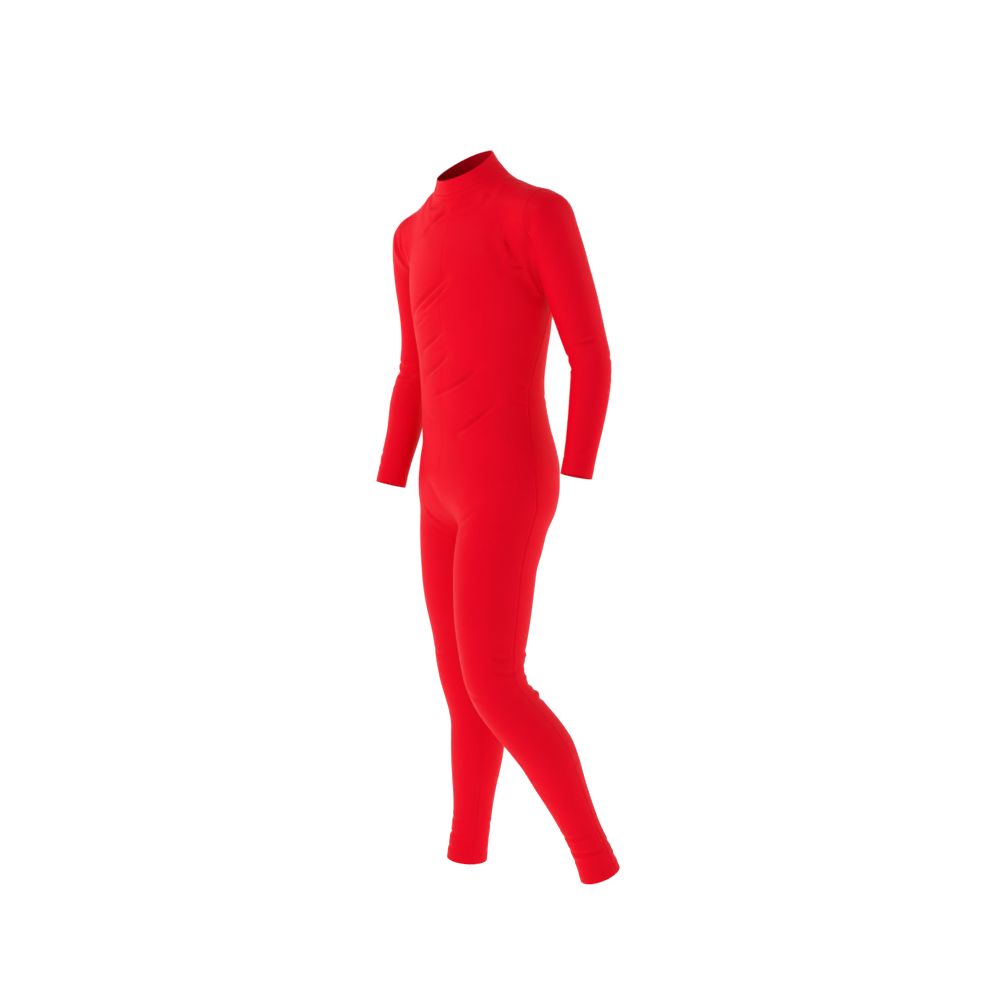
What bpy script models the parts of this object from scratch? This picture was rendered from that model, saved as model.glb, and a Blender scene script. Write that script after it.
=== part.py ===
"""A stretch dance unitard: mock neck, long sleeves, ankle-length legs, zip at the centre back.

Metres, +Z up. The front of the garment faces -Y and the wearer's left is +X.
The origin is the middle of the neck at the level of the shoulders, where the wearer holds it up.
The cloth keeps the hollow shape of a general standing figure in an easy step, left heel raised.
"""

from collections import namedtuple

import bmesh
import bpy
import numpy as np
from mathutils import Matrix

# Sizes of the cloth and of the seams, in metres
CLOTH = 0.0015  # wall of the doubled edges and of the knit
SEAM_GAP = 0.0003  # space between two sewn pieces
ZIP_HALF_WIDTH = 0.0040  # from the centre back to the edge of each back piece
ZIP_END_Z = -0.430  # the zip ends just under the waist

# Grid of each cut piece: how many steps lie along each edge
NECK_STEPS = 4
SHOULDER_STEPS = 5
ARMHOLE_STEPS = 9
SIDE_STEPS = 18
LEG_STEPS = 21
SLEEVE_HEAD_STEPS = 6
SLEEVE_STEPS = 13
COLLAR_STEPS = 3

# Where the hems lie
HEM_Z = {1: -1.358, -1: -1.396}
CUFF_Z = {1: -0.546, -1: -0.600}

# An oval section of the form: its centre, its half width, its depth to the front and to the back,
# and its turn about the vertical in degrees, towards the wearer's left
Section = namedtuple("Section", "x y z half_width front back turn")

TORSO = [
    Section(0.000, 0.026, -0.590, 0.160, 0.088, 0.106, -7),
    Section(0.000, 0.027, -0.560, 0.168, 0.102, 0.126, -7),
    Section(0.001, 0.028, -0.515, 0.158, 0.101, 0.116, -6),
    Section(0.002, 0.023, -0.465, 0.148, 0.100, 0.106, -4),
    Section(0.003, 0.018, -0.415, 0.141, 0.098, 0.100, -2),
    Section(0.004, 0.015, -0.370, 0.139, 0.098, 0.099, 0),
    Section(0.004, 0.016, -0.320, 0.143, 0.100, 0.101, 2),
    Section(0.003, 0.017, -0.270, 0.150, 0.106, 0.104, 4),
    Section(0.002, 0.018, -0.210, 0.156, 0.112, 0.107, 6),
    Section(0.000, 0.018, -0.150, 0.154, 0.108, 0.106, 7),
    Section(0.000, 0.018, -0.095, 0.138, 0.090, 0.096, 7),
    Section(0.000, 0.010, -0.045, 0.105, 0.070, 0.074, 7),
    Section(0.000, 0.000, -0.010, 0.072, 0.058, 0.060, 5),
]
NECK = [
    Section(0.000, 0.012, -0.060, 0.058, 0.060, 0.060, 0),
    Section(0.000, -0.002, -0.005, 0.058, 0.060, 0.060, 0),
    Section(0.000, -0.019, 0.038, 0.053, 0.055, 0.055, 0),
    Section(0.000, -0.040, 0.095, 0.053, 0.055, 0.055, 0),
]
YOKE = [
    Section(-0.158, -0.006, -0.112, 0.043, 0.046, 0.050, 0),
    Section(-0.105, 0.002, -0.076, 0.046, 0.052, 0.060, 0),
    Section(0.000, 0.008, -0.044, 0.050, 0.056, 0.062, 0),
    Section(0.105, 0.028, -0.043, 0.046, 0.052, 0.060, 0),
    Section(0.160, 0.034, -0.064, 0.044, 0.047, 0.051, 0),
]
ARM = {
    1: [
        Section(0.163, 0.034, -0.066, 0.046, 0.049, 0.053, 5),
        Section(0.187, 0.046, -0.115, 0.047, 0.051, 0.053, 5),
        Section(0.201, 0.055, -0.160, 0.046, 0.048, 0.048, 5),
        Section(0.213, 0.067, -0.215, 0.044, 0.047, 0.047, 5),
        Section(0.222, 0.082, -0.275, 0.041, 0.043, 0.043, 8),
        Section(0.230, 0.097, -0.340, 0.037, 0.037, 0.040, 12),
        Section(0.231, 0.094, -0.385, 0.037, 0.037, 0.038, 15),
        Section(0.231, 0.085, -0.440, 0.034, 0.034, 0.034, 15),
        Section(0.233, 0.069, -0.505, 0.030, 0.029, 0.029, 15),
        Section(0.236, 0.050, -0.570, 0.029, 0.028, 0.028, 15),
    ],
    -1: [
        Section(-0.160, -0.004, -0.114, 0.045, 0.048, 0.052, 0),
        Section(-0.193, 0.012, -0.155, 0.048, 0.049, 0.051, 0),
        Section(-0.213, 0.030, -0.205, 0.045, 0.047, 0.047, 0),
        Section(-0.222, 0.043, -0.255, 0.043, 0.045, 0.045, 0),
        Section(-0.226, 0.046, -0.320, 0.040, 0.041, 0.041, 0),
        Section(-0.227, 0.036, -0.370, 0.037, 0.037, 0.040, -4),
        Section(-0.224, 0.009, -0.440, 0.037, 0.036, 0.037, -6),
        Section(-0.215, -0.010, -0.495, 0.034, 0.033, 0.033, -6),
        Section(-0.211, -0.031, -0.545, 0.031, 0.030, 0.030, -6),
        Section(-0.209, -0.054, -0.615, 0.030, 0.028, 0.028, -6),
        Section(-0.209, -0.062, -0.640, 0.030, 0.028, 0.028, -6),
    ],
}
LEG = {
    1: [
        Section(0.086, 0.014, -0.605, 0.074, 0.082, 0.092, 0),
        Section(0.086, -0.004, -0.664, 0.079, 0.084, 0.092, 0),
        Section(0.086, -0.018, -0.720, 0.077, 0.082, 0.084, 0),
        Section(0.088, -0.024, -0.775, 0.074, 0.080, 0.080, 0),
        Section(0.092, -0.031, -0.840, 0.068, 0.075, 0.074, 0),
        Section(0.098, -0.036, -0.900, 0.061, 0.066, 0.064, 0),
        Section(0.106, -0.034, -0.955, 0.056, 0.059, 0.058, 0),
        Section(0.118, -0.014, -1.000, 0.055, 0.058, 0.058, 5),
        Section(0.135, 0.014, -1.045, 0.055, 0.056, 0.062, 10),
        Section(0.156, 0.048, -1.100, 0.055, 0.052, 0.065, 12),
        Section(0.169, 0.073, -1.160, 0.049, 0.045, 0.055, 12),
        Section(0.181, 0.096, -1.215, 0.041, 0.039, 0.045, 12),
        Section(0.192, 0.118, -1.268, 0.036, 0.037, 0.039, 12),
        Section(0.202, 0.138, -1.318, 0.037, 0.039, 0.040, 12),
        Section(0.212, 0.158, -1.380, 0.040, 0.042, 0.043, 12),
    ],
    -1: [
        Section(-0.100, 0.050, -0.605, 0.074, 0.082, 0.092, -10),
        Section(-0.105, 0.050, -0.680, 0.077, 0.083, 0.090, -14),
        Section(-0.110, 0.053, -0.760, 0.074, 0.080, 0.082, -16),
        Section(-0.111, 0.056, -0.822, 0.070, 0.076, 0.075, -18),
        Section(-0.111, 0.062, -0.873, 0.065, 0.070, 0.069, -20),
        Section(-0.112, 0.066, -0.925, 0.058, 0.063, 0.061, -22),
        Section(-0.111, 0.069, -0.980, 0.055, 0.059, 0.056, -25),
        Section(-0.106, 0.078, -1.032, 0.053, 0.055, 0.056, -25),
        Section(-0.102, 0.086, -1.080, 0.052, 0.052, 0.058, -25),
        Section(-0.105, 0.087, -1.155, 0.054, 0.050, 0.058, -25),
        Section(-0.111, 0.087, -1.220, 0.047, 0.044, 0.049, -25),
        Section(-0.116, 0.088, -1.275, 0.039, 0.039, 0.042, -25),
        Section(-0.121, 0.087, -1.323, 0.036, 0.038, 0.040, -25),
        Section(-0.127, 0.084, -1.370, 0.037, 0.040, 0.041, -25),
        Section(-0.133, 0.082, -1.430, 0.038, 0.041, 0.042, -25),
    ],
}

# The neckline and the top edge of the collar: middle height, fall to the front, rise to the left
NECKLINE = {"middle": 0.000, "fall": 0.024, "tilt": 0.006, "radius": 0.062}
COLLAR_TOP = {"middle": 0.038, "fall": 0.028, "tilt": 0.007}

# Where each armhole is cut: the middle of its ring, and how far the ring leans
ARMHOLE_MIDDLE = {1: (0.166, 0.045, -0.092), -1: (-0.163, 0.020, -0.128)}

# A large fold: its two ends, its depth (a trough is negative) and its width
Fold = namedtuple("Fold", "start end depth width")
FOLDS = [
    Fold((-0.090, -0.080, -0.245), (0.026, -0.092, -0.172), -0.0028, 0.013),
    Fold((-0.065, -0.078, -0.317), (0.008, -0.090, -0.278), -0.0024, 0.013),
    Fold((-0.056, -0.078, -0.367), (0.020, -0.084, -0.323), -0.0024, 0.012),
    Fold((0.000, -0.083, -0.394), (0.092, -0.066, -0.344), -0.0026, 0.013),
    Fold((0.040, -0.078, -0.469), (0.119, -0.046, -0.409), -0.0028, 0.013),
    Fold((0.180, -0.012, -0.070), (0.168, -0.009, -0.115), -0.0045, 0.015),
    Fold((0.168, -0.009, -0.115), (0.160, 0.040, -0.190), -0.0045, 0.014),
    Fold((-0.155, -0.060, -0.110), (-0.158, -0.020, -0.180), -0.0035, 0.014),
    Fold((0.164, 0.093, -0.080), (0.161, 0.068, -0.170), -0.0035, 0.014),
    Fold((-0.170, 0.062, -0.110), (-0.167, 0.050, -0.180), -0.0035, 0.014),
    Fold((0.225, 0.055, -0.335), (0.262, 0.066, -0.330), -0.0030, 0.012),
    Fold((-0.250, 0.000, -0.375), (-0.205, 0.000, -0.380), -0.0030, 0.012),
    Fold((0.060, 0.022, -0.945), (0.150, 0.022, -0.950), -0.0035, 0.014),
    Fold((-0.060, -0.062, -0.585), (-0.020, -0.050, -0.650), -0.0024, 0.014),
    Fold((0.100, -0.078, -0.590), (0.020, -0.055, -0.655), -0.0024, 0.014),
    Fold((-0.090, 0.120, -0.355), (-0.010, 0.112, -0.395), -0.0024, 0.013),
    Fold((0.095, 0.108, -0.340), (0.020, 0.112, -0.390), -0.0024, 0.013),
    Fold((-0.035, 0.140, -0.640), (-0.150, 0.130, -0.665), -0.0026, 0.014),
    Fold((0.035, 0.120, -0.650), (0.140, 0.080, -0.680), -0.0026, 0.014),
]


def unit(vectors):
    """Each vector at length one."""
    return vectors / np.maximum(np.linalg.norm(vectors, axis=-1, keepdims=True), 1e-12)


def smooth_curve(table, count):
    """Even samples of the smooth curve that passes through every row of a table."""
    at = np.concatenate([[0.0], np.cumsum(np.linalg.norm(np.diff(table[:, :3], axis=0), axis=1))])
    slope = np.gradient(table, at, axis=0)
    along = np.linspace(0.0, at[-1], count)
    i = np.clip(np.searchsorted(at, along, side="right") - 1, 0, len(at) - 2)
    step = (at[i + 1] - at[i])[:, None]
    w = (along - at[i])[:, None] / step
    return (
        (2 * w**3 - 3 * w**2 + 1) * table[i]
        + (w**3 - 2 * w**2 + w) * step * slope[i]
        + (3 * w**2 - 2 * w**3) * table[i + 1]
        + (w**3 - w**2) * step * slope[i + 1]
    )


class Tube:
    """A stretch of the form: oval sections carried along a smooth line."""

    def __init__(self, sections, count, roundness=2.0, level=False):
        table = smooth_curve(np.array(sections, dtype=float), count)
        self.middle = table[:, :3]
        self.half_width, self.front, self.back = table[:, 3], table[:, 4], table[:, 5]
        self.roundness = roundness
        turn = np.radians(table[:, 6])
        ahead = np.stack([np.sin(turn), -np.cos(turn), np.zeros(count)], axis=1)
        run = unit(np.gradient(self.middle, axis=0))
        if level:
            self.ahead = unit(ahead - run * np.sum(run * ahead, axis=1, keepdims=True))
            self.side = unit(np.cross(self.ahead, run))
            self.up = run
        else:
            self.up = run * np.sign(run[:, 2:3])
            self.side = unit(np.cross(self.up, ahead))
            self.ahead = np.cross(self.side, self.up)

    def distance(self, points):
        """Roughly how far each point lies outside the tube; negative inside."""
        start, run = self.middle[:-1], np.diff(self.middle, axis=0)
        offset = points[:, None, :] - start[None]
        share = np.clip(np.sum(offset * run, axis=2) / np.sum(run * run, axis=1), 0, 1)
        offset = offset - share[..., None] * run[None]

        def between(values):
            return values[:-1] * (1 - share) + values[1:] * share

        def part_along(axis):
            return np.sum(offset * axis[:-1], axis=2) * (1 - share) + np.sum(offset * axis[1:], axis=2) * share

        across, deep = part_along(self.side), part_along(self.ahead)
        beyond = np.sum(offset * unit(run), axis=2)
        wide = between(self.half_width)
        thick = np.where(deep > 0, between(self.front), between(self.back))
        power = self.roundness
        oval = (np.abs(across) / wide) ** power + (np.abs(deep) / thick) ** power
        oval = np.sqrt(oval ** (2 / power) + (beyond / np.minimum(wide, thick)) ** 2) + 1e-9
        reach = np.linalg.norm(offset, axis=2)
        return np.min(reach - reach / oval, axis=1)

    def at_height(self, z):
        """Middle, side, ahead and up of the tube where its line passes the height z."""
        order = np.argsort(self.middle[:, 2])
        heights = self.middle[order, 2]

        def read(values):
            return np.stack([np.interp(z, heights, values[order, k]) for k in range(3)], axis=-1)

        return read(self.middle), unit(read(self.side)), unit(read(self.ahead)), unit(read(self.up))


def soft_union(first, second, blend):
    """The nearer of two distances, rounded where they are alike."""
    closeness = np.maximum(blend - np.abs(first - second), 0) / blend
    return np.minimum(first, second) - closeness**2 * blend / 4


TORSO_TUBE = Tube(TORSO, 34, roundness=2.2)
NECK_TUBE = Tube(NECK, 8)
YOKE_TUBE = Tube(YOKE, 12, level=True)
ARM_TUBE = {side: Tube(ARM[side], 26) for side in (1, -1)}
LEG_TUBE = {side: Tube(LEG[side], 32) for side in (1, -1)}


# How widely the stretches of the form run into each other
BLEND = {"yoke": 0.035, "neck": 0.030, "shoulder": 0.045, "armpit": 0.018, "between_legs": 0.012, "hips": 0.050}
ARMPIT_DROP = 0.080  # from the arm's top down to the armpit
HIPS = {"z": -0.620, "reach": 0.150}


def form(points):
    """Distance outside the whole general figure that the cloth is stretched over."""
    body = soft_union(TORSO_TUBE.distance(points), YOKE_TUBE.distance(points), BLEND["yoke"])
    body = soft_union(body, NECK_TUBE.distance(points), BLEND["neck"])
    for side in (1, -1):
        low_on_arm = np.clip((ARM[side][0].z - points[:, 2]) / ARMPIT_DROP, 0, 1)
        blend = BLEND["shoulder"] + (BLEND["armpit"] - BLEND["shoulder"]) * low_on_arm
        body = soft_union(body, ARM_TUBE[side].distance(points), blend)
    legs = soft_union(LEG_TUBE[1].distance(points), LEG_TUBE[-1].distance(points), BLEND["between_legs"])
    near_hips = np.clip(1 - np.abs(points[:, 2] - HIPS["z"]) / HIPS["reach"], 0, 1)
    return soft_union(body, legs, BLEND["between_legs"] + (BLEND["hips"] - BLEND["between_legs"]) * near_hips)


def cast(origin, towards):
    """Where rays from inside first leave the form."""
    towards = unit(np.asarray(towards, dtype=float))
    shape = towards.shape
    towards = towards.reshape(-1, 3)
    origin = np.broadcast_to(origin, shape).reshape(-1, 3)
    reach = np.zeros(len(towards))
    for _ in range(45):
        reach = reach - 0.9 * form(origin + reach[:, None] * towards)
    return (origin + reach[:, None] * towards).reshape(shape)


def outward(points):
    """Unit normals of the form at points on it."""
    flat = points.reshape(-1, 3)
    small = 0.0015
    slopes = [form(flat + small * axis) - form(flat - small * axis) for axis in np.eye(3)]
    return unit(np.stack(slopes, axis=1)).reshape(points.shape)


def mix(first, second, share):
    """A blend of two arrays; the share may hold one value for each row."""
    share = np.asarray(share, dtype=float)
    if share.ndim:
        share = share[:, None]
    return first * (1 - share) + second * share


def settle(points):
    """Points near the form, moved onto it along its normals."""
    for _ in range(4):
        points = points - form(points)[:, None] * outward(points)
    return points


def neck_ring(angles, ring, radius):
    """Points round the neck at a height that falls to the front; angle 0 is the front, + is left."""
    height = ring["middle"] - ring["fall"] * np.cos(angles) + ring["tilt"] * np.sin(angles)
    return np.stack([radius * np.sin(angles), 0.002 - radius * np.cos(angles), height], axis=1)


def neckline(side, way):
    """The seam under the collar from the centre front or back to the shoulder seam."""
    clear = ZIP_HALF_WIDTH / NECKLINE["radius"] if way < 0 else 0.0
    angles = np.linspace(clear, np.pi / 2, NECK_STEPS + 1)
    if way < 0:
        angles = np.pi - angles
    under_neck = np.array([0.0, 0.004, -0.060])
    return cast(under_neck, neck_ring(side * angles, NECKLINE, NECKLINE["radius"]) - under_neck)


def armhole(side, way):
    """Half of an armhole, from the shoulder's tip down the front or the back to the underarm."""
    middle = np.array(ARMHOLE_MIDDLE[side])
    ahead = TORSO_TUBE.at_height(middle[2])[2]
    angles = np.linspace(0, np.pi, ARMHOLE_STEPS + 1)[:, None]
    return cast(middle, np.cos(angles) * np.array([0.0, 0.0, 1.0]) + way * np.sin(angles) * ahead)


def shoulder_seam(side):
    """The seam over the shoulder, from the neckline to the shoulder's tip."""
    near_neck = neckline(side, 1)[-1]
    tip = armhole(side, 1)[0]
    share = np.linspace(0, 1, SHOULDER_STEPS + 1)
    start = near_neck - np.array([0.0, 0.0, 0.060])
    seam = cast(mix(start[None], np.array(ARMHOLE_MIDDLE[side])[None], share), np.array([[0.0, 0.0, 1.0]] * len(share)))
    seam[0], seam[-1] = near_neck, tip
    return seam


CHEST_Z = -0.200  # rows above this height fan out from one point inside the chest
HIP_Z = -0.500  # below this height the rows' middles move over to the legs
SEAT_Z = -0.590  # the centre seams turn under the body from here
SEAT_STEPS = 4
SEAT_MIDDLE = np.array([-0.008, 0.028, SEAT_Z])


def centre_line(way, gap=0.0, side=1):
    """The centre front or back, from the chest's top to the crotch, moved aside by half a gap."""
    heights = CENTRE_Z[way]
    middle, across, ahead, _ = TORSO_TUBE.at_height(heights)
    lean = np.clip((HIP_Z - heights) / (HIP_Z - SEAT_Z), 0, 1)
    middle = mix(middle, middle + (SEAT_MIDDLE - middle) * [1, 1, 0], lean)
    upper = cast(middle + side * across * np.asarray(gap)[..., None], way * ahead)
    under = np.radians(np.linspace(90 / SEAT_STEPS, 90, SEAT_STEPS))[:, None]
    ahead = TORSO_TUBE.at_height(SEAT_Z)[2]
    lower = cast(SEAT_MIDDLE, way * np.cos(under) * ahead - np.sin(under) * np.array([0.0, 0.0, 1.0]))
    return np.concatenate([upper, lower])


# Heights of the rows along the centre front and the centre back, from just under the neckline
CENTRE_Z = {
    way: np.concatenate(
        [
            np.linspace(top, CHEST_Z, ARMHOLE_STEPS + 1)[1:],
            np.linspace(CHEST_Z, SEAT_Z, SIDE_STEPS - SEAT_STEPS + 1)[1:],
        ]
    )
    for way, top in ((1, -0.024), (-1, 0.022))
}
CROTCH = cast(SEAT_MIDDLE, np.array([0.0, 0.0, -1.0]))
ZIP_ROW = int(np.argmin(np.abs(CENTRE_Z[-1] - ZIP_END_Z)))


def body_rows(side):
    """Middle, side, ahead and up of every row of a front or back piece, neck to hem."""
    underarm_z = armhole(side, 1)[-1, 2]
    body_z = np.linspace(underarm_z, CROTCH[2], SIDE_STEPS + 1)
    body_z = np.concatenate([np.full(ARMHOLE_STEPS, CHEST_Z), np.minimum(body_z, CHEST_Z)])
    leg_z = np.linspace(CROTCH[2], HEM_Z[side], LEG_STEPS + 1)[1:]
    over = np.clip((HIP_Z - body_z) / (HIP_Z - CROTCH[2]), 0, 1)
    over = over * over * (3 - 2 * over)
    torso = TORSO_TUBE.at_height(body_z)
    thigh = LEG_TUBE[side].at_height(body_z)
    shank = LEG_TUBE[side].at_height(leg_z)
    rows = []
    for on_torso, on_thigh, on_leg in zip(torso, thigh, shank):
        rows.append(np.concatenate([mix(on_torso, on_thigh, over), on_leg]))
    rows[0][: len(body_z), 2] = body_z
    return [rows[0]] + [unit(axis) for axis in rows[1:]]


def side_seam(side, rows):
    """The seam from the underarm down the side and the outer leg to the hem."""
    first = ARMHOLE_STEPS + 1
    middle, across, ahead, _ = (values[first:] for values in rows)
    back = np.radians(13) * np.clip(1 - np.arange(len(middle)) / 6, 0, 1)[:, None]
    return cast(middle, side * across * np.cos(back) - ahead * np.sin(back))


def inseam(side, rows):
    """The seam inside the leg from the crotch to the hem."""
    first = ARMHOLE_STEPS + SIDE_STEPS + 1
    middle, across, ahead, _ = (values[first:] for values in rows)
    to_crotch = CROTCH - middle[0]
    lag = np.arctan2(-to_crotch @ ahead[0], -side * (to_crotch @ across[0]))
    lag = lag * np.clip(1 - np.arange(1, len(middle) + 1) / 4, 0, 1)[:, None]
    return cast(middle, -side * across * np.cos(lag) - ahead * np.sin(lag))


def body_panel(side, way):
    """One front (way +1) or back (way -1) piece: a grid from the neck to the hem, centre to side."""
    rows = body_rows(side)
    middle, across, ahead, up = rows
    neck = neckline(side, way)
    top = np.concatenate([neck, shoulder_seam(side)[1:]])
    gap = np.zeros(len(CENTRE_Z[way]))
    if way < 0:
        gap[: ZIP_ROW + 1] = ZIP_HALF_WIDTH
    centre = np.concatenate([neck[:1], centre_line(way, gap, side), inseam(side, rows)])
    outer = np.concatenate([armhole(side, way), side_seam(side, rows)])

    def bearings(points, k):
        offset = points - middle[k]
        out = side * np.sum(offset * across[k], axis=-1)
        forward = way * np.sum(offset * ahead[k], axis=-1)
        rise = np.sum(offset * up[k], axis=-1)
        return np.stack([np.arctan2(out, forward), np.arctan2(rise, np.hypot(out, forward))], axis=-1)

    every = np.arange(len(middle))
    steps = np.linspace(0, 1, len(top))
    inner_edge, outer_edge, top_edge = bearings(centre, every), bearings(outer, every), bearings(top, 0)
    angles = inner_edge[:, None] * (1 - steps)[None, :, None] + outer_edge[:, None] * steps[None, :, None]
    hold = np.clip(1 - every / ARMHOLE_STEPS, 0, 1) ** 1.5
    angles = angles + hold[:, None, None] * (top_edge - angles[0])[None]
    turn, rise = angles[..., 0:1], angles[..., 1:2]
    towards = (
        np.cos(rise) * np.sin(turn) * side * across[:, None]
        + np.cos(rise) * np.cos(turn) * way * ahead[:, None]
        + np.sin(rise) * up[:, None]
    )
    grid = cast(np.broadcast_to(middle[:, None], towards.shape), towards)
    grid[0], grid[:, 0], grid[:, -1] = top, centre, outer
    return grid


SLEEVE_HEAD_SWING = 0.110  # how strongly the rings' middles swing out of the armhole and into the arm
SLEEVE_HEAD_DROP = 0.010  # below the arm's fourth section the rings follow the arm itself


def sleeve(side):
    """One sleeve: rings from the armhole over the shoulder and down the arm to the cuff."""
    start = np.array(ARMHOLE_MIDDLE[side])
    across, ahead = TORSO_TUBE.at_height(start[2])[1:3]
    head_z = ARM[side][3].z - SLEEVE_HEAD_DROP
    heights = np.linspace(head_z, CUFF_Z[side], SLEEVE_STEPS + 1)
    arm, arm_side, arm_ahead, arm_up = ARM_TUBE[side].at_height(heights)
    share = np.arange(1, SLEEVE_HEAD_STEPS) / SLEEVE_HEAD_STEPS
    w = share[:, None]
    leave, arrive = side * across * SLEEVE_HEAD_SWING, -arm_up[0] * SLEEVE_HEAD_SWING
    head = (
        (2 * w**3 - 3 * w**2 + 1) * start
        + (w**3 - 2 * w**2 + w) * leave
        + (3 * w**2 - 2 * w**3) * arm[0]
        + (w**3 - w**2) * arrive
    )
    straight_up = np.array([[0.0, 0.0, 1.0]])
    middle = np.concatenate([head, arm])
    outer = np.concatenate([unit(mix(straight_up, side * arm_side[:1], share)), side * arm_side])
    front = np.concatenate([unit(mix(ahead[None], arm_ahead[:1], share)), arm_ahead])
    angles = np.linspace(0, 2 * np.pi, 2 * ARMHOLE_STEPS + 1)[:-1]
    towards = np.cos(angles)[None, :, None] * outer[:, None] + np.sin(angles)[None, :, None] * front[:, None]
    rings = cast(np.broadcast_to(middle[:, None], towards.shape), towards)
    first = np.concatenate([armhole(side, 1), armhole(side, -1)[-2:0:-1]])
    return np.concatenate([first[None], rings])


def collar():
    """The mock collar: a band from the neckline to its top edge, open at the centre back."""
    base = np.concatenate([neckline(-1, -1), neckline(-1, 1)[-2::-1], neckline(1, 1)[1:], neckline(1, -1)[-2::-1]])
    clear = ZIP_HALF_WIDTH / NECKLINE["radius"]
    quarter = np.linspace(clear, np.pi / 2, NECK_STEPS + 1)
    front = np.linspace(-np.pi / 2, np.pi / 2, 2 * NECK_STEPS + 1)
    angles = np.concatenate([quarter - np.pi, front[1:-1], np.pi - quarter[::-1]])
    target = neck_ring(angles, COLLAR_TOP, NECKLINE["radius"])
    axis = NECK_TUBE.at_height(target[:, 2])[0]
    level = np.stack([np.sin(angles), -np.cos(angles), np.zeros(len(angles))], axis=1)
    edge = cast(axis, level)
    rows = [mix(base, edge, share) for share in np.linspace(0, 1, COLLAR_STEPS + 1)]
    grid = np.stack([rows[0]] + [settle(row) for row in rows[1:-1]] + [rows[-1]])
    return grid


def pulled_in(grid, closed):
    """The grid with its sewn edges drawn back by half a seam gap."""
    result = grid.copy()
    result[0] += SEAM_GAP / 2 * unit(grid[1] - grid[0])
    result[-1] += SEAM_GAP / 2 * unit(grid[-2] - grid[-1])
    if not closed:
        result[:, 0] += SEAM_GAP / 2 * unit(grid[:, 1] - grid[:, 0])
        result[:, -1] += SEAM_GAP / 2 * unit(grid[:, -2] - grid[:, -1])
    return result


def folded(points, normals):
    """Points raised and sunk along their normals by the large folds."""
    lift = np.zeros(points.shape[:-1])
    for fold in FOLDS:
        start, end = np.array(fold.start), np.array(fold.end)
        run = end - start
        share = np.clip(np.sum((points - start) * run, axis=-1) / (run @ run), 0, 1)
        away = np.linalg.norm(points - start - share[..., None] * run, axis=-1)
        lift += fold.depth * np.exp(-((away / fold.width) ** 2))
    return points + lift[..., None] * normals


def new_object(name, points, faces, colour, metallic=0.0, roughness=0.6):
    """One closed piece with a material of its own, all its faces turned outwards."""
    mesh = bpy.data.meshes.new(name)
    mesh.from_pydata(points.tolist(), [], faces)
    work = bmesh.new()
    work.from_mesh(mesh)
    bmesh.ops.recalc_face_normals(work, faces=work.faces)
    work.to_mesh(mesh)
    work.free()
    mesh.shade_smooth()
    piece = bpy.data.objects.new(name, mesh)
    bpy.context.scene.collection.objects.link(piece)
    material = bpy.data.materials.new(name)
    material.use_nodes = True
    shader = material.node_tree.nodes["Principled BSDF"]
    shader.inputs["Base Color"].default_value = (*colour, 1.0)
    shader.inputs["Metallic"].default_value = metallic
    shader.inputs["Roughness"].default_value = roughness
    mesh.materials.append(material)
    return piece


def wall(name, grid, closed=False, normals=None, colour=(0.80, 0.0, 0.012)):
    """A cut piece as a closed wall: its grid on the inside, moved out by the cloth outside."""
    if normals is None:
        normals = outward(grid)
    inside = folded(pulled_in(grid, closed), normals)
    points = np.stack([inside, inside + CLOTH * normals])
    rows, columns = grid.shape[:2]
    index = np.arange(points[..., 0].size).reshape(2, rows, columns)
    if closed:
        index = np.concatenate([index, index[:, :, :1]], axis=2)
    a, b, c, d = index[:, :-1, :-1], index[:, 1:, :-1], index[:, 1:, 1:], index[:, :-1, 1:]
    faces = [np.stack([a, b, c], axis=-1).reshape(-1, 3), np.stack([a, c, d], axis=-1).reshape(-1, 3)]
    rims = [index[:, 0, :], index[:, -1, :]]
    if not closed:
        rims += [index[:, :, 0], index[:, :, -1]]
    for rim in rims:
        low, high = rim
        faces.append(np.stack([low[:-1], low[1:], high[1:]], axis=-1))
        faces.append(np.stack([low[:-1], high[1:], high[:-1]], axis=-1))
    return new_object(name, points.reshape(-1, 3), np.concatenate(faces).tolist(), colour)


ZIP_FOOT_SHARE = 0.8  # how much of its last row's height the zip reaches
ZIP_FOOT_NARROWING = 0.12  # width left at the foot, as a share


def zip_chain(band):
    """The closed zip: chain and tape as a strip that fills the slot at the centre back."""
    half = ZIP_HALF_WIDTH - SEAM_GAP / 2
    middle, across, ahead, _ = TORSO_TUBE.at_height(CENTRE_Z[-1][: ZIP_ROW + 2])
    low = np.stack([cast(middle + share * half * across, -ahead) for share in (-1, 0, 1)], axis=1)
    foot = mix(low[-2:-1, 1], low[-1:, 1], ZIP_FOOT_SHARE)
    low[-1] = foot + (low[-1] - low[-1:, 1]) * ZIP_FOOT_NARROWING
    left, right = band[:, -1], band[:, 0]
    edge = SEAM_GAP / 2 * unit(left - right)
    high = np.stack([right + edge, settle((left + right) / 2), left - edge], axis=1)
    return np.concatenate([high[::-1], low])


# The slider and its pull tab, in a frame of their own: x across the zip, y out of the cloth, z up
SLIDER = {"half_width": 0.0037, "half_length": 0.0055, "thick": 0.0022}
LUG = {"inner": 0.0019, "outer": 0.0029, "foot": 0.0016, "top": 0.0053, "half_length": 0.0017}
PIN_OUT = 0.0043
PIN_RADIUS = 0.0006
PIN_HALF_LENGTH = 0.0024
EYE_RADIUS = 0.00175
EYE_HOLE_RADIUS = 0.00095
TAB_NECK_HALF_WIDTH = 0.0016
TAB_HALF_WIDTH = 0.0026
TAB_SHOULDER = 0.0034
TAB_TOP = -0.0010
TAB_SLOPE = 0.0012  # height over which the neck widens to the body
SEAT_SHARE = 0.65  # where between the collar's top two rows the slider sits
TAB_LENGTH = 0.0150
TAB_THICK = 0.0011
TAB_TILT = 8.0  # degrees that the resting tab leans out over the foot of the collar
METAL = (0.62, 0.02, 0.03)


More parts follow.
